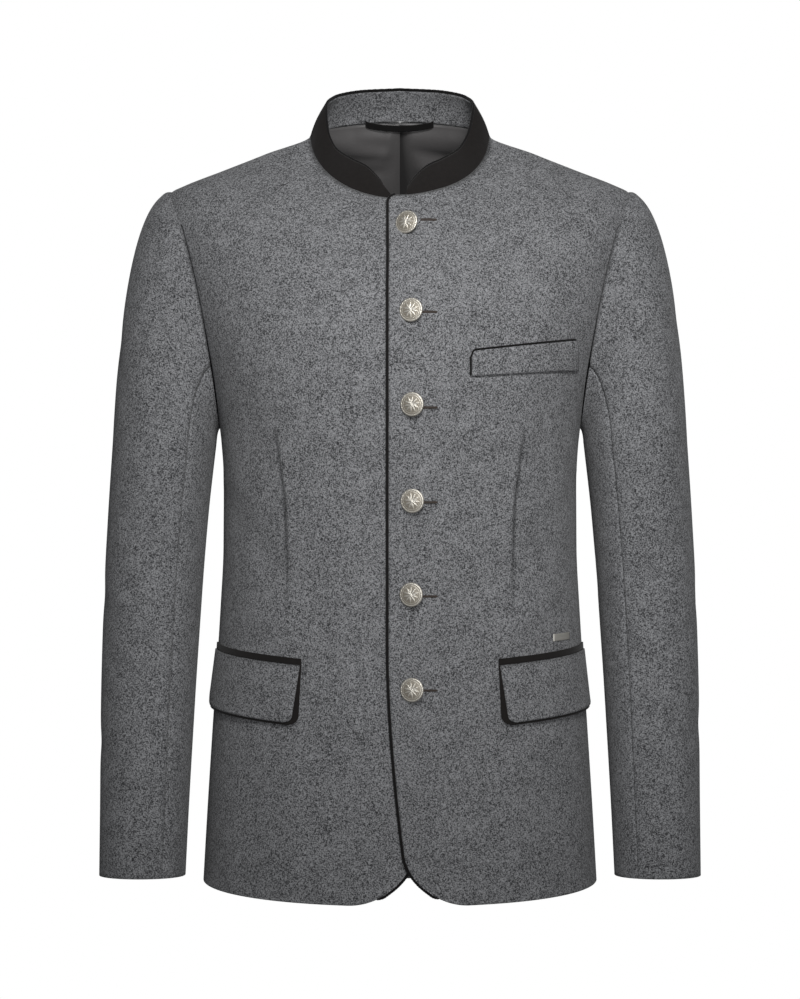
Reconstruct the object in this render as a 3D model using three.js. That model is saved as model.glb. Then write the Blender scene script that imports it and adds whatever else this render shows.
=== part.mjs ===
import * as THREE from 'three';

// Tyrolean loden jacket, filled out as worn. Millimetres, +Z up, the front faces -Y and +X is
// the wearer's left. The origin is the middle of the neck base, which the shoulders carry.

// Walls and gaps
const lodenWall = 2.2;
const feltWall = 1.4;
const flapWall = 1.6;
const liningWall = 1.0;
const seamGap = 0.3;
const layerGap = 0.35;
const armholeGap = 1.7;
const cordGap = 0.8;

// Heights of the cut
const neckSide = -1;
const neckFrontDrop = 67;
const neckBackRise = 19;
const neckHalfWidth = 87;
const shoulderTip = -56.5;
const armpit = -287;
const armholeBow = 0.95;
const hemSide = -722.7;
const hemFront = -738;
const hemBack = -735;

// Front edges: the left front laps over the right one
const leftEdge = -10.5;
const rightEdge = -27;
const cutawayStart = -500;
const cutawayDepth = 21.3;
const cutawayPower = 1.68;
const cornerWidth = 56;
const cornerHeight = 46;
const lapLift = 4.2;
const lapFlat = 28;
const lapEnd = 85;
const cordRadius = 1.2;

// Buttons
const buttonCount = 6;
const buttonRadius = 11.4;
const buttonX = 10.8;
const topButton = -92.7;
const buttonPitch = 88.4;

// Pockets: angles round the body, then the heights of the slanted mouth at its two ends
const mouthInner = -506;
const mouthOuter = -493.5;
const pocketInner = 28.5;
const pocketOuter = 84;
const jetHeight = 6;
const flapHeight = 54;
const flapFlare = 2.6;
const jetColumns = 9;

// Breast welt, by the widths at its ends and the heights of its corners
const welt = {
  inner: 67,
  outer: 168,
  innerLow: -240.7,
  outerLow: -233.2,
  innerHigh: -217.3,
  outerHigh: -205,
};
const weltLift = 0.8;

// Metal tag on the left front
const tag = { inner: 145.5, outer: 161.5, innerHeight: -487.5, outerHeight: -486, length: 7, wall: 0.7 };

// Centre pleat of the back lining
const pleatDepth = 3;
const pleatShare = 0.14;

// Hanger loop inside the back of the neck
const hanger = { from: -35, to: 34, height: 20, drop: 2.2, width: 5.6, wall: 0.9, standOff: 4.6 };

// Body rings, from the hem up: superellipses with their own depth before and behind the centre
const body = table(
  ['height', 'halfWidth', 'front', 'back', 'centre', 'power'],
  [
    [-745, 191.7, 131, 129, 0, 2.2],
    [-650, 186.3, 131, 125, 1, 2.2],
    [-565, 180.9, 132, 119, 2, 2.25],
    [-460, 174, 135, 112, 4, 2.3],
    [-400, 171.2, 139, 111, 5, 2.3],
    [-330, 171, 145, 115, 6, 2.35],
    [-290, 174.3, 150, 119, 7, 2.4],
    [-252, 182, 152, 123, 8, 2.4],
    [-200, 196, 147, 124, 9, 2.4],
    [-145, 211, 129, 121, 11, 2.45],
    [-100, 223.5, 102, 116, 13, 2.5],
    [-80, 227, 86, 113, 13, 2.5],
    [-68, 226.5, 75, 111, 13.5, 2.5],
    [-58, 222.5, 64, 109, 14, 2.5],
    [-51.4, 210, 57, 107, 14, 2.5],
    [-36, 171, 38, 100, 14, 2.5],
    [-20.4, 132, 21, 92, 14, 2.5],
    [-1, 87, 6, 80, 14, 2.5],
    [20, 87, 4, 68, 14, 2.5],
  ],
);

// How far the armhole seam reaches before and behind the ridge of the shoulder
const armholeReach = { front: 62, back: 68 };

// Sleeve rings below the cap, from the cuff up
const sleeve = table(
  ['height', 'centreX', 'centreY', 'halfWidth', 'halfDepth'],
  [
    [-716, 247.3, -40, 41.3, 53],
    [-647, 246, -26, 42.8, 55],
    [-550, 243.8, -8, 45.4, 59],
    [-453, 240, 5, 47.4, 64],
    [-370, 234.6, 6, 48.6, 68],
    [-300, 228.3, 4, 50.2, 71],
  ],
);
const sleevePower = 2.2;
// How the cap leaves the armhole and arrives at the upper arm, as directions and shares of its reach
const capLeave = { outward: 1, sideways: -0.35, down: -0.35, lift: 0.25, reach: 0.48 };
const capArrive = { outward: 0.05, reach: 1.2 };
const capBottom = -300;
const cuff = -716;
const frontSeamAngle = 120;
const backSeamAngle = 240;
const armholeStep = 20;

// Top edge of the stand collar. neckAngle runs from centre front, 0, to centre back, 180.
const collarTop = table(
  ['neckAngle', 'x', 'y', 'z'],
  [
    [4, 10.5, -53.5, -57],
    [10, 17.5, -46, -47.5],
    [20, 29.5, -37, -36],
    [35, 45, -25, -27.5],
    [50, 61, -9, -15.5],
    [70, 70.5, 6, 6],
    [90, 73.5, 25, 28],
    [120, 66, 49, 38.5],
    [150, 38, 69, 46],
    [180, 0, 77, 48.3],
  ],
);

// The collar starts clear of the neck seam, swells outwards, and its front ends lean to the right
const collarClear = 1.2;
const collarSwell = 1.6;
const collarShift = 3.4;

const colours = {
  loden: 0x66676a,
  felt: 0x1c1a19,
  lining: 0x3b3a3a,
  silver: 0xa39b8a,
};

function table(columns, rows) {
  return Object.fromEntries(columns.map((name, i) => [name, rows.map((row) => row[i])]));
}

// Slopes that keep a smooth curve between the rows without overshoot
function rowSlopes(xs, ys) {
  const steps = ys.slice(1).map((y, i) => (y - ys[i]) / (xs[i + 1] - xs[i]));
  return ys.map((y, i) => {
    if (i === 0) return steps[0];
    if (i === ys.length - 1) return steps[i - 1];
    const before = steps[i - 1];
    const after = steps[i];
    return before * after > 0 ? (2 * before * after) / (before + after) : 0;
  });
}

// The value of a column at a key, by a cubic through its rows
function at(source, key, column, value) {
  const xs = source[key];
  const ys = source[column];
  const x = THREE.MathUtils.clamp(value, xs[0], xs.at(-1));
  const i = Math.min(xs.findLastIndex((row) => row <= x), xs.length - 2);
  const width = xs[i + 1] - xs[i];
  const t = (x - xs[i]) / width;
  const slopes = rowSlopes(xs, ys);
  const start = ys[i] * (1 + 2 * t) * (1 - t) ** 2 + slopes[i] * width * t * (1 - t) ** 2;
  const end = ys[i + 1] * t * t * (3 - 2 * t) + slopes[i + 1] * width * t * t * (t - 1);
  return start + end;
}

const bodyAt = (column, height) => at(body, 'height', column, height);
const degrees = THREE.MathUtils.degToRad;
const mix = THREE.MathUtils.lerp;
const signedPower = (value, power) => Math.sign(value) * Math.abs(value) ** power;
const rise = (u) => 1 - Math.cos(degrees(90 * u));
const spread = (count, power = 1) => Array.from({ length: count + 1 }, (_, i) => (i / count) ** power);

// A point of the body: angle 0 is centre front, 90 the side or shoulder ridge, 180 centre back
function bodyPoint(angle, height) {
  const power = 2 / bodyAt('power', height);
  const depth = angle < 90 ? bodyAt('front', height) : bodyAt('back', height);
  const across = signedPower(Math.sin(degrees(angle)), power);
  const outward = signedPower(Math.cos(degrees(angle)), power);
  return new THREE.Vector3(
    bodyAt('halfWidth', height) * across,
    bodyAt('centre', height) - depth * outward,
    height,
  );
}

// A point and its outward normal on any surface given by two parameters
function frameOf(surface, a, b, stepA, stepB) {
  const alongA = surface(a + stepA, b).sub(surface(a - stepA, b));
  const alongB = surface(a, b + stepB).sub(surface(a, b - stepB));
  return { point: surface(a, b), normal: alongA.cross(alongB).normalize() };
}

const bodyFrame = (angle, height) => frameOf(bodyPoint, angle, height, 0.5, 0.5);

// The angle at which the body ring of this height has this half width
function angleAt(x, height) {
  const share = Math.min(Math.abs(x) / bodyAt('halfWidth', height), 1);
  const angle = Math.asin(share ** (bodyAt('power', height) / 2));
  return Math.sign(x) * THREE.MathUtils.radToDeg(angle);
}

// The angle of a seam that stays a set distance before or behind the ridge
function angleFromRidge(distance, depth, height) {
  const share = Math.min(distance / depth, 1);
  return THREE.MathUtils.radToDeg(Math.acos(share ** (bodyAt('power', height) / 2)));
}

// Stations up a panel: share is 0 at the hem and 1 at the neck
const panelShares = { armpit: 0.55, tip: 0.86 };
const frontHeights = { hem: hemFront, armpit: -296, tip: -150, neck: neckSide - neckFrontDrop };
const backHeights = { hem: hemBack, armpit: -272, tip: -48, neck: neckSide + neckBackRise };

// Height of a row at the panel's centre edge and at its side, armhole or shoulder edge
function rowEnds(centreHeights, v) {
  const { armpit: low, tip: high } = panelShares;
  if (v < low) {
    const t = v / low;
    return [mix(centreHeights.hem, centreHeights.armpit, t), mix(hemSide, armpit, t)];
  }
  if (v < high) {
    const t = (v - low) / (high - low);
    return [mix(centreHeights.armpit, centreHeights.tip, t), mix(armpit, shoulderTip, rise(2 * t) / 2)];
  }
  const t = (v - high) / (1 - high);
  return [mix(centreHeights.tip, centreHeights.neck, t), mix(shoulderTip, neckSide, t)];
}

// How far the edge of a panel stays from the ridge: a seam gap, or the armhole's reach
function ridgeDistance(reach, v) {
  const { armpit: low, tip: high } = panelShares;
  const t = THREE.MathUtils.clamp((v - low) / (high - low), 0, 1);
  return seamGap + reach * Math.sin(Math.PI * t) ** armholeBow;
}

// The neck seam seen from the front is an ellipse, below its widest point on the front panels and
// above it on the back ones. This is how far it goes across, from an edge to the side of the neck.
function neckAcross(edge, u) {
  return edge + (neckHalfWidth - edge) * Math.sin(degrees(90 * u));
}

// The share of the neck seam's height that is reached at this distance across
function neckRise(edge, u) {
  const share = Math.min(Math.max(neckAcross(edge, u), 0) / neckHalfWidth, 1);
  return 1 - Math.sqrt(1 - share * share);
}

// The body angle of a point of the neck seam
function neckAngleAt(edge, centreHeight, u) {
  return angleAt(neckAcross(edge, u), mix(centreHeight, neckSide, neckRise(edge, u)));
}

const neckShare = (v) => Math.max(0, (v - panelShares.tip) / (1 - panelShares.tip));

function frontEdge(base, height) {
  const t = Math.max(0, (cutawayStart - height) / (cutawayStart - hemFront));
  return base + cutawayDepth * t ** cutawayPower;
}

// Pulls the square corner between the front edge and the hem onto a quarter ellipse
function roundedCorner(x, z, edge, hem, width, height) {
  const a = 1 - (x - edge) / width;
  const b = 1 - (z - hem) / height;
  return [x + width * a * (1 - Math.sqrt(1 - b * b / 2)), z + height * b * (1 - Math.sqrt(1 - a * a / 2))];
}

const mirrored = (vector, side) => new THREE.Vector3(vector.x * side, vector.y, vector.z);

// A frame of the front at an angle and height, lifted where the left front laps over the right
function frontFrame(side, angle, height) {
  const { point, normal } = bodyFrame(angle, height);
  const lap = side > 0 ? lapLift * (1 - THREE.MathUtils.smoothstep(point.x, lapFlat, lapEnd)) : 0;
  point.addScaledVector(normal, lap);
  return { point: mirrored(point, side), normal: mirrored(normal, side) };
}

// Front panel: u runs from the front edge to the side, v from the hem to the neck
function frontPlace(side, u, v, grow = 0) {
  const base = (side > 0 ? leftEdge : rightEdge) - grow;
  const [centre, end] = rowEnds(frontHeights, v);
  const hem = mix(hemFront, hemSide, rise(u)) - grow;
  const towardsNeck = neckShare(v);
  const row = mix(centre, end, mix(rise(u), neckRise(base, u), towardsNeck));
  const z = Math.max(row - grow * (1 - v), hem);
  const depth = bodyAt('front', end);
  const endAngle = angleFromRidge(ridgeDistance(armholeReach.front, v), depth, end);
  const neckAngle = Math.min(neckAngleAt(base, frontHeights.neck, u), endAngle);
  const lowAngle = mix(angleAt(frontEdge(base, z), z), endAngle, u);
  const angle = mix(lowAngle, neckAngle, towardsNeck);
  const width = cornerWidth + grow;
  const height = cornerHeight + grow;
  const x = bodyPoint(angle, z).x;
  const edge = frontEdge(base, z);
  if (x - edge >= width || z - hem >= height) return frontFrame(side, angle, z);
  const [turnedX, turnedZ] = roundedCorner(x, z, edge, hem, width, height);
  return frontFrame(side, angleAt(turnedX, turnedZ), turnedZ);
}

// Back panel: u runs from centre back to the side, v from the hem to the neck
function backPlace(side, u, v) {
  const [centre, end] = rowEnds(backHeights, v);
  const towardsNeck = neckShare(v);
  const z = mix(centre, end, mix(rise(u), neckRise(seamGap, u), towardsNeck));
  const depth = bodyAt('back', end);
  const endAngle = angleFromRidge(ridgeDistance(armholeReach.back, v), depth, end);
  const startAngle = angleAt(seamGap, z);
  const neckAngle = Math.min(neckAngleAt(seamGap, backHeights.neck, u), endAngle);
  const angle = mix(mix(startAngle, endAngle, u), neckAngle, towardsNeck);
  const { point, normal } = bodyFrame(180 - angle, z);
  return { point: mirrored(point, side), normal: mirrored(normal, side) };
}

// Armhole seam: angle 0 is the shoulder tip, 90 the front, 180 the armpit, 270 the back
function armholePoint(angle) {
  const z = mix(shoulderTip, armpit, (1 - Math.cos(degrees(angle))) / 2);
  const swing = Math.sin(degrees(angle));
  const reach = swing > 0 ? armholeReach.front : armholeReach.back;
  const distance = reach * Math.abs(swing) ** armholeBow;
  const depth = swing > 0 ? bodyAt('front', z) : bodyAt('back', z);
  const power = bodyAt('power', z);
  const x = bodyAt('halfWidth', z) * (1 - (distance / depth) ** power) ** (1 / power);
  return new THREE.Vector3(x, bodyAt('centre', z) - Math.sign(swing) * distance, z);
}

function sleeveRing(angle, height) {
  const across = signedPower(Math.cos(degrees(angle)), 2 / sleevePower);
  const outward = signedPower(Math.sin(degrees(angle)), 2 / sleevePower);
  return new THREE.Vector3(
    at(sleeve, 'height', 'centreX', height) + at(sleeve, 'height', 'halfWidth', height) * across,
    at(sleeve, 'height', 'centreY', height) - at(sleeve, 'height', 'halfDepth', height) * outward,
    height,
  );
}

// The sleeve: t from 0 to 1 is the cap, a smooth curve from the armhole down to the upper arm's
// ring, and from 1 to 2 the arm down to the cuff
function sleevePoint(angle, t) {
  if (t > 1) return sleeveRing(angle, mix(capBottom, cuff, t - 1));
  const start = armholePoint(angle);
  start.x += armholeGap;
  const end = sleeveRing(angle, capBottom);
  const reach = start.distanceTo(end);
  const swing = Math.sin(degrees(angle));
  const climb = Math.cos(degrees(angle));
  const leave = new THREE.Vector3(
    capLeave.outward,
    capLeave.sideways * swing,
    capLeave.down + capLeave.lift * climb,
  );
  leave.setLength(reach * capLeave.reach);
  const arrive = new THREE.Vector3(capArrive.outward, 0, -1).setLength(reach * capArrive.reach);
  const point = start.multiplyScalar(2 * t ** 3 - 3 * t ** 2 + 1);
  point.addScaledVector(leave, t ** 3 - 2 * t ** 2 + t);
  point.addScaledVector(end, 3 * t ** 2 - 2 * t ** 3);
  return point.addScaledVector(arrive, t ** 3 - t ** 2);
}

function sleevePlace(side, angle, t) {
  const inside = THREE.MathUtils.clamp(t, 0.02, 1.99);
  const { normal } = frameOf(sleevePoint, angle, inside, 1, 0.02);
  return { point: mirrored(sleevePoint(angle, t), side), normal: mirrored(normal, side) };
}

// The neck seam, by angle from centre front to centre back
function neckFrame(side, neckAngle) {
  if (neckAngle <= 90) {
    const x = neckHalfWidth * Math.sin(degrees(neckAngle));
    const z = neckSide - neckFrontDrop * Math.cos(degrees(neckAngle));
    return frontFrame(side, angleAt(x, z), z);
  }
  return backPlace(side, (180 - neckAngle) / 90, 1);
}

// The stand collar: v is 0 at the neck seam and 1 at its top edge, with a slight outward swell
function collarPoint(side, neckAngle, v) {
  const base = neckFrame(side, neckAngle).point;
  const towardsFront = Math.max(0, Math.cos(degrees(neckAngle)));
  const top = new THREE.Vector3(
    side * at(collarTop, 'neckAngle', 'x', neckAngle) - collarShift * towardsFront,
    at(collarTop, 'neckAngle', 'y', neckAngle),
    at(collarTop, 'neckAngle', 'z', neckAngle),
  );
  top.y -= side > 0 ? lapLift * towardsFront : 0;
  const lean = top.clone().sub(base);
  const swell = new THREE.Vector3(side * Math.sin(degrees(neckAngle)), -Math.cos(degrees(neckAngle)), 0);
  base.addScaledVector(lean, mix(collarClear / lean.length(), 1, v));
  return base.addScaledVector(swell, collarSwell * Math.sin(Math.PI * v));
}

function collarPlace(side, neckAngle, v) {
  const surface = (angle, height) => collarPoint(side, angle, height);
  const angle = THREE.MathUtils.clamp(neckAngle, 5, 179);
  const { normal } = frameOf(surface, angle, THREE.MathUtils.clamp(v, 0.05, 0.95), 1, 0.05);
  return { point: collarPoint(side, neckAngle, v), normal: normal.multiplyScalar(side) };
}

// A closed wall between an outer and an inner grid of points, faces outwards
function wallGeometry(outer, inner) {
  const rows = outer.length;
  const columns = outer[0].length;
  const id = (layer, j, i) => (layer * rows + j) * columns + i;
  const index = [];
  const quad = (a, b, c, d) => index.push(a, b, c, a, c, d);
  for (let j = 0; j < rows - 1; j += 1) {
    for (let i = 0; i < columns - 1; i += 1) {
      quad(id(0, j, i), id(0, j, i + 1), id(0, j + 1, i + 1), id(0, j + 1, i));
      quad(id(1, j, i), id(1, j + 1, i), id(1, j + 1, i + 1), id(1, j, i + 1));
    }
  }
  for (let i = 0; i < columns - 1; i += 1) {
    quad(id(0, 0, i), id(1, 0, i), id(1, 0, i + 1), id(0, 0, i + 1));
    quad(id(0, rows - 1, i), id(0, rows - 1, i + 1), id(1, rows - 1, i + 1), id(1, rows - 1, i));
  }
  for (let j = 0; j < rows - 1; j += 1) {
    quad(id(0, j, 0), id(0, j + 1, 0), id(1, j + 1, 0), id(1, j, 0));
    quad(id(0, j, columns - 1), id(1, j, columns - 1), id(1, j + 1, columns - 1), id(0, j + 1, columns - 1));
  }
  const points = [...outer.flat(), ...inner.flat()];
  const volume = sixVolumes(points, index);
  if (volume < 0) index.reverse();
  const geometry = new THREE.BufferGeometry().setFromPoints(points);
  geometry.setIndex(index);
  geometry.computeVertexNormals();
  return geometry;
}

function sixVolumes(points, index) {
  let total = 0;
  for (let i = 0; i < index.length; i += 3) {
    const [a, b, c] = [points[index[i]], points[index[i + 1]], points[index[i + 2]]];
    total += a.dot(b.clone().cross(c));
  }
  return total;
}

// A cloth piece: place(u, v) gives the frame its outer face is raised from
function clothPiece(name, colour, { us, vs, place, wall, raise = () => 0 }) {
  const layer = (depth) => vs.map((v) => us.map((u) => {
    const { point, normal } = place(u, v);
    return point.clone().addScaledVector(normal, raise(u, v) - depth);
  }));
  return namedMesh(name, wallGeometry(layer(0), layer(wall)), colour);
}

function namedMesh(name, geometry, colour, roughness = 0.95, metalness = 0) {
  const material = new THREE.MeshStandardMaterial({ color: colour, roughness, metalness });
  const mesh = new THREE.Mesh(geometry, material);
  mesh.name = name;
  return mesh;
}

// A smooth route with one section at each of its points
class Route extends THREE.CatmullRomCurve3 {
  getPointAt(share, target) {
    return this.getPoint(share, target);
  }

  getTangentAt(share, target) {
    return this.getTangent(share, target);
  }
}

// A round cord along a route
function cord(name, points, radius) {
  const outline = new THREE.Shape(new THREE.EllipseCurve(0, 0, radius, radius).getPoints(5).slice(0, 5));
  const shape = { extrudePath: new Route(points), steps: points.length - 1, curveSegments: 1 };
  return namedMesh(name, new THREE.ExtrudeGeometry(outline, shape), colours.felt);
}

// Rows bunch at the hem, where the corner turns, and at the tip of the shoulder
function panelRows(hemRows) {
  const { armpit: low, tip: high } = panelShares;
  const lower = spread(hemRows, 1.35).map((t) => t * low);
  const middle = spread(180 / armholeStep).slice(1).map((t) => mix(low, high, t));
  const upper = spread(4).slice(1).map((t) => mix(high, 1, t));
  return [...lower, ...middle, ...upper];
}

const sides = [['left', 1], ['right', -1]];
const backColumns = [...spread(9).slice(0, -1), 0.985, 1];

function fronts() {
  return sides.map(([label, side]) => clothPiece(`front_${label}`, colours.loden, {
    us: spread(11, 1.15),
    vs: panelRows(8),
    place: (u, v) => frontPlace(side, u, v),
    wall: lodenWall,
  }));
}

function backs() {
  return sides.map(([label, side]) => clothPiece(`back_${label}`, colours.loden, {
    us: backColumns,
    vs: panelRows(6),
    place: (u, v) => backPlace(side, u, v),
    wall: lodenWall,
  }));
}

function sleeves() {
  const rows = [...spread(7, 1.3), ...spread(5).slice(1).map((t) => t + 1)];
  const gapAngle = seamGap * 0.6;
  const pieces = { top: [backSeamAngle - 360, frontSeamAngle], under: [frontSeamAngle, backSeamAngle] };
  return Object.entries(pieces).flatMap(([piece, [from, to]]) => (
    sides.map(([label, side]) => clothPiece(`sleeve_${piece}_${label}`, colours.loden, {
      us: spread((to - from) / armholeStep).map((t) => (
        THREE.MathUtils.clamp(mix(from, to, t), from + gapAngle, to - gapAngle)
      )),
      vs: rows,
      place: (angle, t) => sleevePlace(side, angle, t),
      wall: lodenWall,
    }))
  ));
}

// The collar goes round the whole neck: a turn of -360 to -180 is the wearer's right half, and of
// -180 to 0 the left half
function collar() {
  const half = [4, 8, 13, 19, 27, 38, 50, 62, 76, 90, 108, 126, 146, 164];
  const around = [...half.map((angle) => angle - 360), 180 - 360, ...half.map((angle) => -angle).reverse()];
  const place = (turn, v) => (turn < -180 ? collarPlace(-1, turn + 360, v) : collarPlace(1, -turn, v));
  const layers = [
    ['collar_outer', colours.felt, 0],
    ['collar_inner', colours.loden, feltWall + layerGap],
  ];
  const faces = layers.map(([name, colour, depth]) => clothPiece(name, colour, {
    us: around,
    vs: [0, 0.35, 0.7, 1],
    place,
    wall: feltWall,
    raise: () => -depth,
  }));
  const rim = around.map((angle) => place(angle, 1));
  const edge = rim.map(({ point, normal }, i) => {
    const next = rim[Math.min(i + 1, rim.length - 1)].point;
    const tangent = next.clone().sub(rim[Math.max(i - 1, 0)].point);
    const up = tangent.cross(normal).setLength(cordRadius + cordGap);
    const lean = point.clone().sub(place(around[i], 0.8).point);
    return point.clone().addScaledVector(normal, -feltWall).addScaledVector(up, Math.sign(up.dot(lean)));
  });
  return [...faces, cord('collar_piping', edge.slice(1, -1), cordRadius)];
}

// The cord follows the front edge down, rounds the corner and ends on the hem
function frontCords() {
  return sides.map(([label, side]) => {
    const grow = cordRadius + cordGap;
    const cordTop = 0.97;
    const cornerTop = 0.045;
    const cordEnd = 0.04;
    const down = spread(14).map((t) => frontPlace(side, 0, mix(cordTop, cornerTop, t), grow));
    const turn = spread(4).slice(1).map((t) => frontPlace(side, 0, mix(cornerTop, 0, t), grow));
    const along = spread(5).slice(1).map((t) => frontPlace(side, cordEnd * t, 0, grow));
    const points = [...down, ...turn, ...along].map(({ point, normal }) => (
      point.addScaledVector(normal, -lodenWall / 2)
    ));
    return cord(`front_piping_${label}`, points, cordRadius);
  });
}

// A pocket piece between two angles, below the slanted mouth line, with one rounded corner
function pocketPlace(side, shape, u, v) {
  const across = mix(shape.inner, pocketOuter, u);
  const mouth = mix(mouthInner, mouthOuter, u) - shape.top;
  return frontFrame(side, across + shape.slant * v * (1 - u), mouth - shape.height * v);
}

function pockets() {
  const jet = { inner: pocketInner, top: 0, height: jetHeight, slant: 0 };
  const flap = { inner: pocketInner + 0.4, top: jetHeight + seamGap, height: flapHeight, slant: 2.4 };
  const backing = { inner: pocketInner, top: jetHeight + seamGap, height: flapHeight + 1.2, slant: 0.4 };
  const backingRaise = layerGap + feltWall * 0.6;
  const layers = [
    ['pocket_jet', colours.felt, jet, layerGap + feltWall, feltWall, 0],
    ['flap_backing', colours.felt, backing, backingRaise, feltWall * 0.6, flapFlare],
    ['flap', colours.loden, flap, backingRaise + layerGap + flapWall, flapWall, flapFlare],
  ];
  return sides.flatMap(([label, side]) => layers.map(([name, colour, shape, raise, wall, flare]) => (
    clothPiece(`${name}_${label}`, colour, {
      us: spread(jetColumns),
      vs: spread(name === 'pocket_jet' ? 1 : 3),
      place: (u, v) => pocketPlace(side, shape, u, v),
      wall,
      raise: (u, v) => raise + flare * v,
    })
  )));
}

// The breast welt tapers towards the front and leans up towards the sleeve
function weltPlace(u, v) {
  const x = mix(welt.inner, welt.outer, u);
  const z = mix(mix(welt.innerLow, welt.outerLow, u), mix(welt.innerHigh, welt.outerHigh, u), v);
  return frontFrame(1, angleAt(x, z), z);
}

function breastWelt() {
  const us = spread(6);
  const strip = clothPiece('breast_welt', colours.loden, {
    us,
    vs: spread(2),
    place: weltPlace,
    wall: lodenWall,
    raise: () => weltLift + lodenWall,
  });
  const [besideU, aboveV] = [-0.02, 1.08];
  const upLeft = spread(3).map((t) => weltPlace(besideU, t));
  const across = [0.01, ...us.slice(1, -1), 0.97].map((u) => weltPlace(u, aboveV));
  const points = [...upLeft, ...across].map(({ point, normal }) => (
    point.addScaledVector(normal, weltLift + cordRadius)
  ));
  return [strip, cord('breast_welt_piping', points, cordRadius * 0.7)];
}

// A domed button with a rim, standing on its shank
function buttonGeometry() {
  const profile = [
    [0, 0.3], [2.6, 0.3], [2.6, 2], [10.6, 2], [buttonRadius, 2.8],
    [buttonRadius - 0.3, 3.9], [8.2, 4.9], [4.4, 5.6], [0, 5.9],
  ];
  return new THREE.LatheGeometry(profile.map(([r, h]) => new THREE.Vector2(r, h)), 16);
}

function buttons() {
  return Array.from({ length: buttonCount }, (_, i) => {
    const height = topButton - buttonPitch * i;
    const { point, normal } = frontFrame(1, angleAt(buttonX, height), height);
    const button = namedMesh(`button_${i + 1}`, buttonGeometry(), colours.silver, 0.4, 0.9);
    button.position.copy(point);
    button.quaternion.setFromUnitVectors(new THREE.Vector3(0, 1, 0), normal);
    return button;
  });
}

// A thin metal plate on the left front, along the pocket mouth
function tagPlate() {
  return clothPiece('tag', colours.silver, {
    us: [0, 0.5, 1],
    vs: [0, 1],
    place: (u, v) => {
      const z = mix(tag.innerHeight, tag.outerHeight, u) + tag.length * (v - 0.5);
      return frontFrame(1, angleAt(mix(tag.inner, tag.outer, u), z), z);
    },
    wall: tag.wall,
    raise: () => tag.wall + layerGap,
  });
}

// Back lining under the loden; the right half comes forward at the centre as a pleat
function backLining() {
  const pleat = (u) => pleatDepth * (1 - THREE.MathUtils.smoothstep(u, 0, pleatShare));
  return sides.map(([label, side]) => clothPiece(`lining_back_${label}`, colours.lining, {
    us: backColumns.slice(0, -1),
    vs: panelRows(6).slice(1).map((v) => Math.min(v, 0.99)),
    place: (u, v) => backPlace(side, u, v),
    wall: liningWall,
    raise: (u) => -lodenWall - layerGap - (side < 0 ? pleat(u) : 0),
  }));
}

// A flat strap that hangs in a shallow bow from the collar seam at the back of the neck
function hangerLoop() {
  const place = (u, v) => {
    const x = mix(hanger.from, hanger.to, u);
    const z = hanger.height - hanger.drop * Math.sin(Math.PI * u) ** 0.7 - hanger.width * v;
    const { point, normal } = bodyFrame(180 - angleAt(Math.abs(x), z), z);
    point.x *= Math.sign(x) || 1;
    normal.x *= Math.sign(x) || 1;
    return { point, normal };
  };
  return clothPiece('hanger_loop', colours.felt, {
    us: spread(10),
    vs: [0, 1],
    place,
    wall: hanger.wall,
    raise: (u) => -lodenWall - liningWall - 2 * layerGap - hanger.standOff * Math.sin(Math.PI * u) ** 0.5,
  });
}

const jacket = new THREE.Group();
jacket.add(
  ...fronts(),
  ...backs(),
  ...sleeves(),
  ...collar(),
  ...frontCords(),
  ...pockets(),
  ...breastWelt(),
  ...buttons(),
  tagPlate(),
  ...backLining(),
  hangerLoop(),
);

export default jacket;
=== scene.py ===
"""A tyrolean loden jacket, filled out as worn: cloth, cords, buttons and a studio.

All shapes are worked out in millimetres with numpy and made as meshes in metres. The body is a
pile of superellipse rings, BODY, read at any height; every piece that lies on it is placed by an
angle round the ring (0 centre front, 90 side, 180 centre back) and a height.
"""

import math

import bpy
import numpy as np
from mathutils import Matrix, Vector


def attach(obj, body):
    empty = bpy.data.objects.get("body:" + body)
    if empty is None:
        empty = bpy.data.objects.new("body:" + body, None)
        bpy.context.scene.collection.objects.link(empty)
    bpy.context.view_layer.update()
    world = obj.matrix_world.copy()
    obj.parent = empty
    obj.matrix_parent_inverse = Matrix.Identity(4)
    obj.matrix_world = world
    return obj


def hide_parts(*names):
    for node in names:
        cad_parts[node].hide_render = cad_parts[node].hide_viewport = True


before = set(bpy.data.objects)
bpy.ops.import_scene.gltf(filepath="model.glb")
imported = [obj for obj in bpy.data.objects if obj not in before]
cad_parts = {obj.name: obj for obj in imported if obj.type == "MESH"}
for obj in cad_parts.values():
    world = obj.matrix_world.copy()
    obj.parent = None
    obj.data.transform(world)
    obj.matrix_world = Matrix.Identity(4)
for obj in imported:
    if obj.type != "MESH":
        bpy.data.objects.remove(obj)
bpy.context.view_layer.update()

bl_info = {
    "name": "Loden jacket",
    "version": (1, 0, 0),
    "blender": (4, 5, 0),
    "location": "3D View > Sidebar > Jacket",
    "description": "Builds a tyrolean loden jacket with its materials and a studio",
    "category": "Object",
}

MM = 0.001
ROOT = "root"


# ---------------------------------------------------------------- tables


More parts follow.
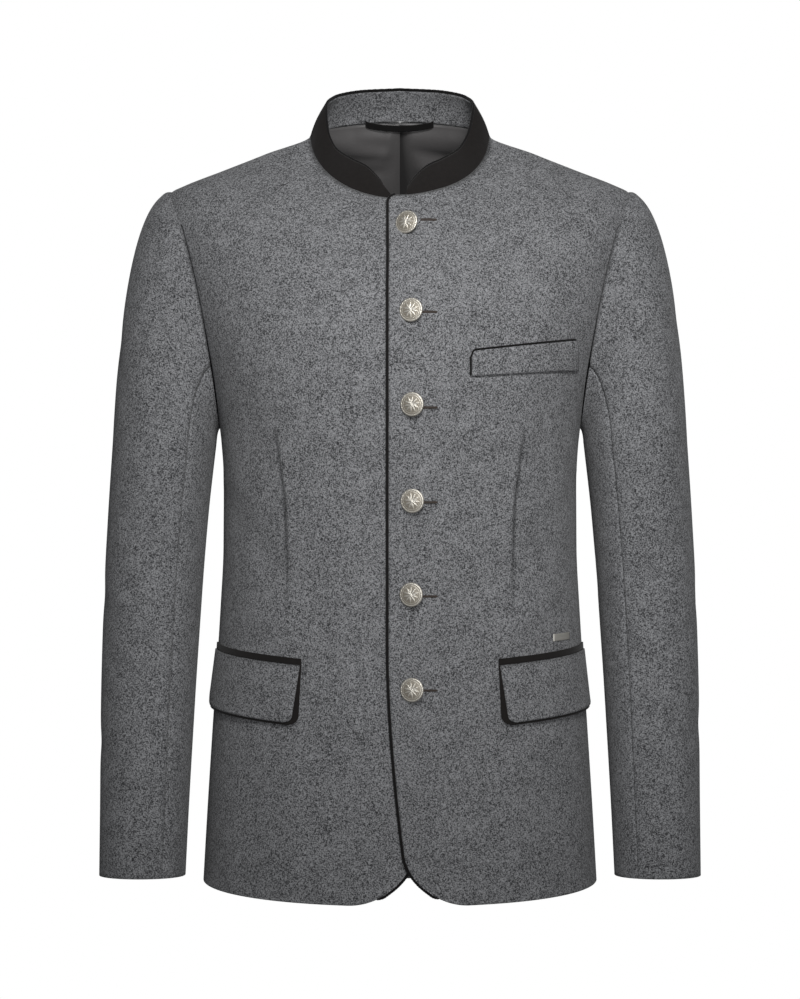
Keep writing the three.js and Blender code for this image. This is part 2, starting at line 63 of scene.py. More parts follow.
class Rows:
    """Columns over a rising key. Between two rows a column follows the cubic whose end slopes are
    the harmonic mean of the chords on each side, 2ab / (a + b), or 0 where the chords turn."""

    def __init__(self, columns, rows):
        data = np.array(rows, float)
        self.key = data[:, 0]
        self.values = {name: data[:, i] for i, name in enumerate(columns)}
        self.slopes = {name: self._slopes(y) for name, y in self.values.items()}

    def _slopes(self, y):
        chord = np.diff(y) / np.diff(self.key)
        before, after = chord[:-1], chord[1:]
        total = np.where(before * after > 0, before + after, 1)
        inner = np.where(before * after > 0, 2 * before * after / total, 0)
        return np.concatenate([chord[:1], inner, chord[-1:]])

    def __call__(self, column, where):
        x = np.clip(where, self.key[0], self.key[-1])
        i = np.clip(np.searchsorted(self.key, x, side="right") - 1, 0, len(self.key) - 2)
        y, slope = self.values[column], self.slopes[column]
        width = self.key[i + 1] - self.key[i]
        t = (x - self.key[i]) / width
        return (
            y[i] * (1 + 2 * t) * (1 - t) ** 2
            + slope[i] * width * t * (1 - t) ** 2
            + y[i + 1] * t * t * (3 - 2 * t)
            + slope[i + 1] * width * t * t * (t - 1)
        )


BODY = Rows(
    ("height", "half_width", "front", "back", "centre", "power"),
    [
        (-745, 191.7, 131, 129, 0, 2.2),
        (-650, 186.3, 131, 125, 1, 2.2),
        (-565, 180.9, 132, 119, 2, 2.25),
        (-460, 174, 135, 112, 4, 2.3),
        (-400, 171.2, 139, 111, 5, 2.3),
        (-330, 171, 145, 115, 6, 2.35),
        (-290, 174.3, 150, 119, 7, 2.4),
        (-252, 182, 152, 123, 8, 2.4),
        (-200, 196, 147, 124, 9, 2.4),
        (-145, 211, 129, 121, 11, 2.45),
        (-100, 223.5, 102, 116, 13, 2.5),
        (-80, 227, 86, 113, 13, 2.5),
        (-68, 226.5, 75, 111, 13.5, 2.5),
        (-58, 222.5, 64, 109, 14, 2.5),
        (-51.4, 210, 57, 107, 14, 2.5),
        (-36, 171, 38, 100, 14, 2.5),
        (-20.4, 132, 21, 92, 14, 2.5),
        (-1, 87, 6, 80, 14, 2.5),
        (20, 87, 4, 68, 14, 2.5),
    ],
)

SLEEVE = Rows(
    ("height", "centre_x", "centre_y", "half_width", "half_depth"),
    [
        (-716, 247.3, -40, 41.3, 53),
        (-647, 246, -26, 42.8, 55),
        (-550, 243.8, -8, 45.4, 59),
        (-453, 240, 5, 47.4, 64),
        (-370, 234.6, 6, 48.6, 68),
        (-300, 228.3, 4, 50.2, 71),
    ],
)

COLLAR_TOP = Rows(
    ("neck_angle", "x", "y", "z"),
    [
        (4, 10.5, -53.5, -57),
        (10, 17.5, -46, -47.5),
        (20, 29.5, -37, -36),
        (35, 45, -25, -27.5),
        (50, 61, -9, -15.5),
        (70, 70.5, 6, 6),
        (90, 73.5, 25, 28),
        (120, 66, 49, 38.5),
        (150, 38, 69, 46),
        (180, 0, 77, 48.3),
    ],
)

LODEN_WALL, FELT_WALL, FLAP_WALL, LINING_WALL = 2.2, 1.4, 1.6, 1.0
SEAM_GAP, LAYER_GAP, ARMHOLE_GAP, CORD_GAP = 0.15, 0.35, 0.3, 0.3
NECK_SIDE, NECK_FRONT_DROP, NECK_BACK_RISE, NECK_HALF_WIDTH = -1, 67, 19, 87
SHOULDER_TIP, ARMPIT = -56.5, -287
HEM_SIDE, HEM_FRONT, HEM_BACK = -722.7, -738, -735
LEFT_EDGE, RIGHT_EDGE = -10.5, -27
CUTAWAY_START, CUTAWAY_DEPTH, CUTAWAY_POWER = -500, 21.3, 1.68
CORNER_WIDTH, CORNER_HEIGHT, NECK_CORNER = 56, 46, 8
LAP_LIFT, LAP_FLAT, LAP_END = 4.2, 28, 85
CORD_RADIUS = 1.2
TOP_BUTTON, BUTTON_PITCH = -92.7, 88.4
ARMHOLE_BOW, REACH_FRONT, REACH_BACK = 0.95, 62, 68
LOW_SHARE, HIGH_SHARE = 0.55, 0.86
FRONT_HEIGHTS = (HEM_FRONT, -296, -150, NECK_SIDE - NECK_FRONT_DROP)
BACK_HEIGHTS = (HEM_BACK, -272, -48, NECK_SIDE + NECK_BACK_RISE)
SLEEVE_POWER, CAP_BOTTOM, CUFF = 2.2, -300, -716
FRONT_SEAM, BACK_SEAM, TUCK = 120, 240, 3.0


# ---------------------------------------------------------------- form


def mix(a, b, t):
    """a + (b - a) t."""
    return a + (b - a) * t


def smooth(value, low, high):
    """0 below low and 1 above high, with t^2 (3 - 2 t) between."""
    t = np.clip((value - low) / (high - low), 0, 1)
    return t * t * (3 - 2 * t)


def rise(u):
    """1 - cos(pi u / 2): level at the start, steepest at the end."""
    return 1 - np.cos(np.pi / 2 * u)


def signed_power(value, power):
    """The sign of a value times its size to a power."""
    return np.sign(value) * np.abs(value) ** power


def xyz(x, y, z):
    """Three coordinates as one array of points."""
    return np.stack(np.broadcast_arrays(x, y, z), -1).astype(float)


def unit(v):
    """Vectors over their lengths."""
    return v / np.maximum(np.linalg.norm(v, axis=-1, keepdims=True), 1e-9)


def body_point(angle, height):
    """x = W sgn(sin a)|sin a|^(2/p), y = C - D sgn(cos a)|cos a|^(2/p)."""
    power = 2 / BODY("power", height)
    depth = np.where(angle < 90, BODY("front", height), BODY("back", height))
    a = np.radians(angle)
    across = signed_power(np.sin(a), power)
    outward = signed_power(np.cos(a), power)
    return xyz(BODY("half_width", height) * across, BODY("centre", height) - depth * outward, height)


def frame_of(surface, a, b, step_a, step_b):
    """A point and the unit cross product of the chords along both parameters."""
    along_a = surface(a + step_a, b) - surface(a - step_a, b)
    along_b = surface(a, b + step_b) - surface(a, b - step_b)
    return surface(a, b), unit(np.cross(along_a, along_b))


def angle_at(x, height):
    """The angle round the body, from its front, of the point at x: asin((x / W)^(p/2))."""
    share = np.minimum(np.abs(x) / BODY("half_width", height), 1)
    return np.sign(x) * np.degrees(np.arcsin(share ** (BODY("power", height) / 2)))


def angle_from_ridge(distance, depth, height):
    """The angle of the point at a depth from the side ridge: acos((distance / D)^(p/2))."""
    share = np.minimum(distance / depth, 1)
    return np.degrees(np.arccos(share ** (BODY("power", height) / 2)))


def row_ends(heights, v):
    """Heights where a row meets the centre and the side: hem, armpit, shoulder tip, neck."""
    hem, low, high, neck = heights
    a = v / LOW_SHARE
    b = (v - LOW_SHARE) / (HIGH_SHARE - LOW_SHARE)
    c = (v - HIGH_SHARE) / (1 - HIGH_SHARE)
    centre = np.select(
        [v < LOW_SHARE, v < HIGH_SHARE],
        [mix(hem, low, a), mix(low, high, b)],
        mix(high, neck, c),
    )
    end = np.select(
        [v < LOW_SHARE, v < HIGH_SHARE],
        [mix(HEM_SIDE, ARMPIT, a), mix(ARMPIT, SHOULDER_TIP, rise(2 * b) / 2)],
        mix(SHOULDER_TIP, NECK_SIDE, c),
    )
    return centre, end


def ridge_distance(reach, v):
    """Depth of the armhole from the side ridge: the seam gap + reach sin(pi t)^bow."""
    t = np.clip((v - LOW_SHARE) / (HIGH_SHARE - LOW_SHARE), 0, 1)
    return SEAM_GAP + reach * np.abs(np.sin(np.pi * t)) ** ARMHOLE_BOW


def neck_across(edge, u):
    """Distance across from the edge to the neck side: a quarter sine of u."""
    return edge + (NECK_HALF_WIDTH - edge) * np.sin(np.pi / 2 * u)


def neck_rise(edge, u):
    """Rise of the neckline, as a share of its height: 1 - sqrt(1 - share^2)."""
    share = np.clip(neck_across(edge, u) / NECK_HALF_WIDTH, 0, 1)
    return 1 - np.sqrt(1 - share * share)


def neck_angle_at(edge, centre_height, u):
    """The body angle of the neckline at u."""
    return angle_at(neck_across(edge, u), mix(centre_height, NECK_SIDE, neck_rise(edge, u)))


def front_edge(base, height):
    """Front edge across: base + depth t^power, t from the start of the cutaway to the hem."""
    t = np.maximum(0, (CUTAWAY_START - height) / (CUTAWAY_START - HEM_FRONT))
    return base + CUTAWAY_DEPTH * t**CUTAWAY_POWER


def mirrored(vectors, side):
    """Vectors on the wearer's left, or mirrored to the right."""
    return vectors * np.array([side, 1, 1])


def front_frame(side, angle, height):
    """The body's frame, lifted by LAP_LIFT where the left front laps over the right one."""
    point, normal = frame_of(body_point, angle, height, 0.5, 0.5)
    lap = LAP_LIFT * (1 - smooth(point[..., 0], LAP_FLAT, LAP_END)) if side > 0 else 0 * point[..., 0]
    return mirrored(point + normal * lap[..., None], side), mirrored(normal, side)


def corner(across, up, width, height):
    """Steps that pull a square corner onto a quarter ellipse: with a = 1 - across / width and
    b = 1 - up / height they are width a (1 - sqrt(1 - b^2 / 2)) and height b (1 - sqrt(1 - a^2 / 2))."""
    a, b = 1 - across / width, 1 - up / height
    turned = (a > 0) & (b > 0)
    a, b = np.where(turned, np.minimum(a, 1), 0), np.where(turned, np.minimum(b, 1), 0)
    return width * a * (1 - np.sqrt(1 - b * b / 2)), height * b * (1 - np.sqrt(1 - a * a / 2)), turned


def front_place(side, u, v, grow=0.0):
    """u runs from the front edge to the side seam, v from the hem up to the neck seam."""
    base = (LEFT_EDGE if side > 0 else RIGHT_EDGE) - grow
    centre, end = row_ends(FRONT_HEIGHTS, v)
    hem = mix(HEM_FRONT, HEM_SIDE, rise(u)) - grow
    neck = np.maximum(0, (v - HIGH_SHARE) / (1 - HIGH_SHARE))
    row = mix(centre, end, mix(rise(u), neck_rise(base, u), neck))
    z = np.maximum(row - grow * (1 - v), hem)
    end_angle = angle_from_ridge(ridge_distance(REACH_FRONT, v), BODY("front", end), end)
    neck_angle = np.minimum(neck_angle_at(base, FRONT_HEIGHTS[3], u), end_angle)
    low_angle = mix(angle_at(front_edge(base, z), z), end_angle, u)
    angle = mix(low_angle, neck_angle, neck)
    x = body_point(angle, z)[..., 0]
    edge = front_edge(base, z)
    in_x, in_z, turned = corner(x - edge, z - hem, CORNER_WIDTH + grow, CORNER_HEIGHT + grow)
    if side > 0:
        top = NECK_SIDE - NECK_FRONT_DROP * np.sqrt(1 - np.clip(x / NECK_HALF_WIDTH, -1, 1) ** 2)
        z = z + grow * smooth(v, 0.95, 1)
        neck_x, neck_z, at_neck = corner(x - edge, top + grow - z, NECK_CORNER + grow, NECK_CORNER + grow)
        in_x, in_z, turned = in_x + neck_x, in_z - neck_z, turned | at_neck
    return front_frame(side, np.where(turned, angle_at(x + in_x, z + in_z), angle), z + in_z)


def back_place(side, u, v):
    """u runs from centre back to the side seam, v from the hem up to the neck seam."""
    centre, end = row_ends(BACK_HEIGHTS, v)
    neck = np.maximum(0, (v - HIGH_SHARE) / (1 - HIGH_SHARE))
    z = mix(centre, end, mix(rise(u), neck_rise(SEAM_GAP, u), neck))
    end_angle = angle_from_ridge(ridge_distance(REACH_BACK, v), BODY("back", end), end)
    neck_angle = np.minimum(neck_angle_at(SEAM_GAP, BACK_HEIGHTS[3], u), end_angle)
    angle = mix(mix(angle_at(SEAM_GAP, z), end_angle, u), neck_angle, neck)
    point, normal = frame_of(body_point, 180 - angle, z, 0.5, 0.5)
    return mirrored(point, side), mirrored(normal, side)


def armhole_point(angle):
    """The armhole loop: height by cosine, depth from the ridge by reach |sin a|^bow."""
    a = np.radians(angle)
    z = mix(SHOULDER_TIP, ARMPIT, (1 - np.cos(a)) / 2)
    swing = np.sin(a)
    reach = np.where(swing > 0, REACH_FRONT, REACH_BACK)
    distance = reach * np.abs(swing) ** ARMHOLE_BOW
    depth = np.where(swing > 0, BODY("front", z), BODY("back", z))
    power = BODY("power", z)
    x = BODY("half_width", z) * (1 - np.minimum(distance / depth, 1) ** power) ** (1 / power)
    return xyz(x, BODY("centre", z) - np.sign(swing) * distance, z)


def sleeve_ring(angle, height):
    """A superellipse ring of the sleeve at a height."""
    a = np.radians(angle)
    across = signed_power(np.cos(a), 2 / SLEEVE_POWER)
    outward = signed_power(np.sin(a), 2 / SLEEVE_POWER)
    return xyz(
        SLEEVE("centre_x", height) + SLEEVE("half_width", height) * across,
        SLEEVE("centre_y", height) - SLEEVE("half_depth", height) * outward,
        height,
    )


def sleeve_point(angle, t):
    """t 0 to 1: a Hermite curve from the armhole to the upper arm's ring. t 1 to 2: the rings."""
    angle, t = np.broadcast_arrays(np.asarray(angle, float), np.asarray(t, float))
    below = sleeve_ring(angle, mix(CAP_BOTTOM, CUFF, np.maximum(t - 1, 0)))
    start = armhole_point(angle) + np.array([ARMHOLE_GAP, 0, 0])
    end = sleeve_ring(angle, np.full_like(angle, CAP_BOTTOM))
    reach = np.linalg.norm(end - start, axis=-1, keepdims=True)
    a = np.radians(angle)
    leave = unit(xyz(1, -0.35 * np.sin(a), -0.35 + 0.25 * np.cos(a))) * reach * 0.48
    arrive = unit(np.array([0.05, 0, -1])) * reach * 1.2
    s = np.minimum(t, 1)[..., None]
    cap = (
        start * (2 * s**3 - 3 * s**2 + 1)
        + leave * (s**3 - 2 * s**2 + s)
        + end * (3 * s**2 - 2 * s**3)
        + arrive * (s**3 - s**2)
    )
    return np.where(t[..., None] > 1, below, cap)


def sleeve_place(side, angle, t):
    """A sleeve point and its normal, the normal taken just inside the sleeve's ends."""
    inside = np.clip(t, 0.02, 1.99)
    _, normal = frame_of(sleeve_point, angle, inside, 1, 0.02)
    return mirrored(sleeve_point(angle, t), side), mirrored(normal, side)


def neck_point(side, neck_angle):
    """The neck seam: front neckline to 90 degrees, then the back one."""
    a = np.radians(neck_angle)
    x = NECK_HALF_WIDTH * np.sin(a)
    z = NECK_SIDE - NECK_FRONT_DROP * np.cos(a)
    ahead, _ = front_frame(side, angle_at(x, z), z)
    behind, _ = back_place(side, np.clip((180 - neck_angle) / 90, 0, 1), np.ones_like(a))
    return np.where((neck_angle <= 90)[..., None], ahead, behind)


def collar_point(side, neck_angle, v):
    """A wall from the neck seam to COLLAR_TOP with a small outward swell, sin(pi v)."""
    neck_angle, v = np.broadcast_arrays(np.asarray(neck_angle, float), np.asarray(v, float))
    a = np.radians(neck_angle)
    base = neck_point(side, neck_angle)
    ahead = np.maximum(0, np.cos(a))
    top = xyz(
        side * COLLAR_TOP("x", neck_angle) - 3.4 * ahead,
        COLLAR_TOP("y", neck_angle) - (LAP_LIFT * ahead if side > 0 else 0),
        COLLAR_TOP("z", neck_angle),
    )
    lean = top - base
    length = np.linalg.norm(lean, axis=-1)
    swell = xyz(side * np.sin(a), -np.cos(a), 0) * (1.6 * np.sin(np.pi * v))[..., None]
    return base + lean * mix(0.05 / length, 1, v)[..., None] + swell


def collar_place(turn, v):
    """turn -360 to -180 is the wearer's right half from the front, -180 to 0 the left half."""
    turn, v = np.broadcast_arrays(np.asarray(turn, float), np.asarray(v, float))
    out = []
    for side, neck_angle in ((-1, turn + 360), (1, -turn)):
        safe = np.clip(neck_angle, 4, 180)
        inner = np.clip(safe, 5, 179)
        _, normal = frame_of(lambda a, b: collar_point(side, a, b), inner, np.clip(v, 0.05, 0.95), 1, 0.05)
        out.append((collar_point(side, safe, v), normal * side))
    pick = (turn < -180)[..., None]
    return np.where(pick, out[0][0], out[1][0]), np.where(pick, out[0][1], out[1][1])


# ---------------------------------------------------------------- meshes


def grid_faces(rows, columns, base=0):
    """Quads of a rows x columns grid of points, numbered row by row."""
    j, i = np.meshgrid(np.arange(rows - 1), np.arange(columns - 1), indexing="ij")
    a = base + j * columns + i
    return np.stack([a, a + 1, a + columns + 1, a + columns], -1).reshape(-1, 4)


def wall_faces(rows, columns):
    """Faces of a closed wall: the outer grid, the inner grid turned over, and the four rims."""
    outer = grid_faces(rows, columns)
    inner = grid_faces(rows, columns, rows * columns)[:, ::-1]
    number = np.arange(rows * columns).reshape(rows, columns)
    loop = np.concatenate([number[0, :-1], number[:-1, -1], number[-1, :0:-1], number[:0:-1, 0]])
    after = np.roll(loop, -1)
    rim = np.stack([loop, loop + rows * columns, after + rows * columns, after], -1)
    return np.concatenate([outer, inner, rim])


def outward(points, faces):
    """The faces, turned over if the volume that they close is negative."""
    a, b, c, d = (points[faces[:, k]] for k in range(4))
    volume = np.einsum("ij,ij->", a, np.cross(b, c)) + np.einsum("ij,ij->", a, np.cross(c, d))
    return faces[:, ::-1] if volume < 0 else faces


def new_object(name, points, faces, material, layers=None):
    """An object from points in millimetres and quads, with values at the points as layers."""
    mesh = bpy.data.meshes.new(name)
    mesh.from_pydata((points * MM).tolist(), [], outward(points, faces).tolist())
    mesh.polygons.foreach_set("use_smooth", np.full(len(mesh.polygons), True))
    for label, values in (layers or {}).items():
        layer = mesh.attributes.new(label, "FLOAT", "POINT")
        layer.data.foreach_set("value", np.asarray(values, np.float32).ravel())
    mesh.materials.append(material)
    mesh.update()
    thing = bpy.data.objects.new(name, mesh)
    bpy.context.scene.collection.objects.link(thing)
    return thing


def cut_size(points):
    """Width, length and area of a grid of points, in metres, measured along the cloth."""
    across = np.linalg.norm(np.diff(points, axis=1), axis=-1).sum(1).max()
    along = np.linalg.norm(np.diff(points, axis=0), axis=-1).sum(0).max()
    a, b = points[1:, 1:] - points[:-1, :-1], points[1:, :-1] - points[:-1, 1:]
    area = np.linalg.norm(np.cross(a, b), axis=-1).sum() / 2
    width, length = max(across * MM, 0.0101), max(along * MM, 0.0101)
    return (width, length), min(area * MM * MM, width * length)


def edge_distance(points):
    """Distance along the cloth from each point to both ends of its row and of its column."""
    out = []
    for axis in (1, 0):
        step = np.linalg.norm(np.diff(points, axis=axis), axis=-1)
        zero = np.zeros_like(np.take(step, [0], axis=axis))
        run = np.concatenate([zero, np.cumsum(step, axis=axis)], axis=axis)
        out.append(run)
        out.append(np.take(run, [-1], axis=axis) - run)
    return out


def cloth(
    name, place, us, vs, wall, material, slot, replaces, raised=None, painted_shade_at=None, held="draped", **words
):
    """A closed cloth wall. outer = place + normal * raised, inner = outer - normal * wall."""
    u, v = np.meshgrid(us, vs)
    point, normal = place(u, v)
    lift = np.zeros(u.shape) if raised is None else raised(u, v, point)
    outer = point + normal * lift[..., None]
    inner = outer - normal * wall
    rows, columns = u.shape
    points = np.concatenate([outer.reshape(-1, 3), inner.reshape(-1, 3)])
    # layers of painted shade, such as the darkening along seams and the pleat edge
    painted_shade = painted_shade_at(u, v, point) if painted_shade_at else {}
    layers = {key: np.tile(values.ravel(), 2) for key, values in painted_shade.items()}
    thing = new_object(name, points, wall_faces(rows, columns), material, layers)
    ride(thing, slot, replaces)
    flat, area = cut_size(outer)
    return thing


def resampled(point, normal, step):
    """The same route at even steps, its sharp turns eased by a running mean."""
    run = np.concatenate([[0], np.cumsum(np.linalg.norm(np.diff(point, axis=0), axis=-1))])
    even = np.linspace(0, run[-1], int(run[-1] / step))
    out = [np.stack([np.interp(even, run, part[:, k]) for k in range(3)], -1) for part in (point, normal)]
    kernel = np.array([1, 2, 3, 2, 1]) / 9
    eased = np.stack([np.convolve(out[0][:, k], kernel, mode="valid") for k in range(3)], -1)
    return np.concatenate([out[0][:2], eased, out[0][-2:]]), unit(out[1])


def tube(name, path, radius, material, slot, replaces, twist=0.0, lay=0.0, sides=12):
    """Rings round a path. The radius is r (1 + twist cos(2 (angle - lay * length)))."""
    step = np.linalg.norm(np.diff(path, axis=0), axis=-1)
    run = np.concatenate([[0], np.cumsum(step)])
    tangent = unit(np.gradient(path, axis=0))
    reference = unit(np.cross(tangent, np.array([0.31, 0.87, 0.38])))
    across = unit(np.cross(tangent, reference))
    angle = np.arange(sides) * 2 * np.pi / sides
    size = radius * (1 + twist * np.cos(2 * (angle[None, :] - lay * run[:, None])))
    rim = np.minimum(1, np.sqrt(np.maximum(0.02, np.minimum(run, run[-1] - run) / radius)))[:, None]
    ring = (
        path[:, None]
        + reference[:, None] * (size * rim * np.cos(angle))[..., None]
        + across[:, None] * (size * rim * np.sin(angle))[..., None]
    )
    count = len(path)
    points = np.concatenate([ring.reshape(-1, 3), path[:1], path[-1:]])
    number = np.arange(count * sides).reshape(count, sides)
    nxt = np.roll(number, -1, axis=1)
    body = np.stack([number[:-1], nxt[:-1], nxt[1:], number[1:]], -1).reshape(-1, 4)
    a, b, c, d = (points[body[:, k]] for k in range(4))
    volume = np.einsum("ij,ij->", a - path[0], np.cross(b - path[0], c - path[0]))
    volume += np.einsum("ij,ij->", a - path[0], np.cross(c - path[0], d - path[0]))
    groups = [body, fan(nxt[0], number[0], count * sides), fan(number[-1], nxt[-1], count * sides + 1)]
    if volume < 0:
        groups = [group[:, ::-1] for group in groups]
    return ring_object(name, points, groups, material, slot, replaces)


def fan(start, stop, tip):
    """Triangles from a tip vertex to each edge of a ring."""
    return np.stack([np.full(len(start), tip), start, stop], -1)


def ring_object(name, points, groups, material, slot, replaces, layers=None):
    """A smooth object built of rings. groups are arrays of faces, each with its own corner count,
    and layers are values at the points. It rides on the root body."""
    mesh = bpy.data.meshes.new(name)
    mesh.from_pydata((points * MM).tolist(), [], sum((group.tolist() for group in groups), []))
    mesh.polygons.foreach_set("use_smooth", np.full(len(mesh.polygons), True))
    for label, values in (layers or {}).items():
        layer = mesh.attributes.new(label, "FLOAT", "POINT")
        layer.data.foreach_set("value", values.astype(np.float32))
    mesh.materials.append(material)
    thing = bpy.data.objects.new(name, mesh)
    bpy.context.scene.collection.objects.link(thing)
    ride(thing, slot, replaces)
    return thing


def ride(thing, slot, replaces=()):
    """The object rides on the root body, in place of its CAD nodes; slot is not used."""
    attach(thing, ROOT)
    if replaces:
        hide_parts(*replaces)


# ---------------------------------------------------------------- creases


def folds(x, z, table):
    """Soft troughs and ridges. Each row is a line (x0, z0)-(x1, z1) with a half width and a height:
    height * exp(-(distance / width)^2) * sin(pi share)^0.6 along the line."""
    total = np.zeros_like(x)
    for x0, z0, x1, z1, width, height in table:
        run = np.array([x1 - x0, z1 - z0], float)
        length = np.hypot(*run)
        share = ((x - x0) * run[0] + (z - z0) * run[1]) / length**2
        away = ((x - x0) * run[1] - (z - z0) * run[0]) / length
        taper = np.sin(np.pi * np.clip(share, 0, 1)) ** 0.6
        total += height * np.exp(-((away / width) ** 2)) * taper
    return total


def line_distance(x, z, knots):
    """Distance to a chain of straight stretches, and the share of the chain's length reached."""
    best = np.full(x.shape, 1e9)
    where = np.zeros_like(x)
    knots = np.array(knots, float)
    lengths = np.hypot(*np.diff(knots, axis=0).T)
    starts = np.concatenate([[0], np.cumsum(lengths)])
    for (a, b), (c, d), length, start in zip(knots[:-1], knots[1:], lengths, starts):
        t = np.clip(((x - a) * (c - a) + (z - b) * (d - b)) / length**2, 0, 1)
        gap = np.hypot(x - mix(a, c, t), z - mix(b, d, t))
        nearer = gap < best
        best = np.where(nearer, gap, best)
        where = np.where(nearer, (start + t * length) / starts[-1], where)
    return best, where


FRONT_FOLDS = {
    1: [
        (60, -115, 120, -150, 34, 1.2),
        (150, -250, 128, -330, 16, -1.5),
        (165, -300, 140, -400, 13, 1.6),
        (172, -330, 120, -420, 12, -1.7),
        (130, -420, 60, -452, 16, -1.1),
        (150, -440, 82, -500, 14, 1.3),
        (60, -560, 44, -735, 18, -1.3),
        (100, -590, 112, -735, 20, 1.6),
        (135, -600, 150, -732, 16, -1.6),
        (28, -200, 34, -430, 11, -0.9),
        (18, -560, 36, -700, 12, 1.0),
    ],
    -1: [
        (-60, -112, -128, -146, 36, 1.2),
        (-148, -248, -130, -322, 15, -1.6),
        (-166, -296, -138, -388, 13, 1.5),
        (-170, -342, -112, -430, 12, -1.8),
        (-128, -412, -52, -470, 15, -1.2),
        (-152, -452, -76, -498, 13, 1.3),
        (-56, -570, -50, -735, 19, -1.5),
        (-92, -585, -104, -735, 18, 1.5),
        (-136, -606, -146, -732, 15, -1.5),
        (-34, -170, -38, -440, 12, -1.2),
        (-40, -480, -34, -720, 11, -1.1),
    ],
}

BACK_FOLDS = [
    (-8, -40, -70, -78, 22, -1.2),
    (10, -44, 76, -84, 24, -1.2),
    (-150, -150, -120, -300, 18, -1.9),
    (148, -140, 126, -310, 20, -1.8),
    (-40, -330, -140, -372, 13, -1.7),
    (-20, -372, -150, -402, 15, 1.6),
    (34, -340, 146, -380, 14, -1.6),
    (16, -388, 140, -412, 14, 1.5),
    (-60, -420, -110, -730, 24, -1.8),
    (64, -430, 96, -730, 26, -1.6),
    (-18, -520, -26, -730, 18, 1.5),
    (24, -500, 34, -732, 20, 1.4),
]

# Sleeve folds by angle round the arm and share down it: angle0, t0, angle1, t1, width, height
SLEEVE_FOLDS = {
    1: [
        (60, 0.35, 118, 0.66, 0.055, -1.9),
        (-10, 0.55, 70, 0.92, 0.06, -1.0),
        (40, 1.22, 124, 1.34, 0.030, -2.2),
        (10, 1.36, 110, 1.46, 0.028, 1.7),
        (30, 1.42, 128, 1.58, 0.030, -2.0),
        (-60, 1.28, 40, 1.40, 0.040, -1.0),
        (-30, 1.62, 90, 1.74, 0.034, -1.1),
        (250, 0.30, 300, 0.60, 0.050, -1.7),
        (180, 1.30, 236, 1.42, 0.035, -1.4),
        (-100, 1.45, -20, 1.62, 0.035, 1.3),
    ],
    -1: [
        (56, 0.38, 120, 0.70, 0.055, -1.8),
        (-16, 0.60, 66, 0.95, 0.06, -1.1),
        (46, 1.18, 126, 1.30, 0.030, -2.1),
        (16, 1.32, 114, 1.44, 0.028, 1.6),
        (24, 1.46, 124, 1.60, 0.030, -1.9),
        (-56, 1.30, 36, 1.38, 0.040, -1.1),
        (-36, 1.66, 84, 1.76, 0.034, -1.0),
        (246, 0.32, 296, 0.58, 0.050, -1.6),
        (184, 1.26, 238, 1.40, 0.035, -1.5),
        (-96, 1.50, -16, 1.64, 0.035, 1.2),
    ],
}

DART = [(118, -290), (113, -325), (109, -355), (107.5, -388), (107, -420), (107, -470)]


def dart(x, z):
    """The front dart: a sharp groove with soft swells beside it, dying out at its lower end, and the painted
    shade that darkens the groove.
    """
    away, share = line_distance(np.abs(x), z, DART)
    strength = np.sin(np.pi * np.clip(0.06 + share * 0.94, 0, 1)) ** 0.35
    fade = strength * (1 - 0.6 * smooth(share, 0.5, 1))
    return fade * (0.55 * np.exp(-((away / 7) ** 2)) - 1.5 * np.exp(-((away / 1.5) ** 2))), fade * np.exp(
        -((away / 1.5) ** 2)
    )


# ---------------------------------------------------------------- settings


class JacketSizes(bpy.types.PropertyGroup):
    """Sizes that the panel shows."""

    grid: bpy.props.FloatProperty(
        name="Grid",
        description="Size of a cloth cell",
        default=0.0026,
        unit="LENGTH",
    )
    seam_depth: bpy.props.FloatProperty(
        name="Seam depth",
        description="How deep a seam lies in the cloth",
        default=0.0008,
        unit="LENGTH",
    )
    crease: bpy.props.FloatProperty(
        name="Creases",
        description="Strength of the creases",
        default=1.0,
        min=0.0,
        max=2.0,
        subtype="FACTOR",
    )
    button_radius: bpy.props.FloatProperty(
        name="Button radius",
        description="Outer radius of a button",
        default=0.0114,
        unit="LENGTH",
    )


def colour_property(label, description, value):
    """A colour setting of three linear values."""
    return bpy.props.FloatVectorProperty(
        name=label,
        description=description,
        default=value,
        size=3,
        min=0.0,
        max=1.0,
        subtype="COLOR",
    )


class JacketColours(bpy.types.PropertyGroup):
    """Colours that the panel shows."""

    loden_dark: colour_property("Loden dark", "Dark fibres of the grey wool", (0.026, 0.0265, 0.0285))
    loden_light: colour_property("Loden light", "Pale fibres of the grey wool", (0.285, 0.288, 0.298))
    felt: colour_property("Felt", "Collar and trim felt", (0.0125, 0.0110, 0.0105))
    cord: colour_property("Cord", "Edge cord", (0.008, 0.0075, 0.0075))
    lining: colour_property("Lining", "Satin lining", (0.095, 0.091, 0.091))
    silver: colour_property("Silver", "Antique silver on the raised parts", (0.86, 0.83, 0.76))
    hollow: colour_property("Hollow", "Darkened hollows of the metal", (0.33, 0.30, 0.25))
    thread: colour_property("Thread", "Buttonhole thread", (0.050, 0.041, 0.036))


# ---------------------------------------------------------------- materials


def group_tree(name, inputs, outputs):
    """A shader node group with named sockets, its input node and its output node."""
    tree = bpy.data.node_groups.new(name, "ShaderNodeTree")
    for label, kind, value in inputs:
        socket = tree.interface.new_socket(label, in_out="INPUT", socket_type=kind)
        socket.default_value = value
    for label, kind in outputs:
        tree.interface.new_socket(label, in_out="OUTPUT", socket_type=kind)
    return tree, tree.nodes.new("NodeGroupInput"), tree.nodes.new("NodeGroupOutput")


def add(tree, kind, inputs=None, **settings):
    """A node with its settings, each input a value or the socket that feeds it."""
    node = tree.nodes.new(kind)
    for key, value in settings.items():
        setattr(node, key, value)
    for key, value in (inputs or {}).items():
        if isinstance(value, bpy.types.NodeSocket):
            tree.links.new(value, node.inputs[key])
        else:
            node.inputs[key].default_value = value
    return node


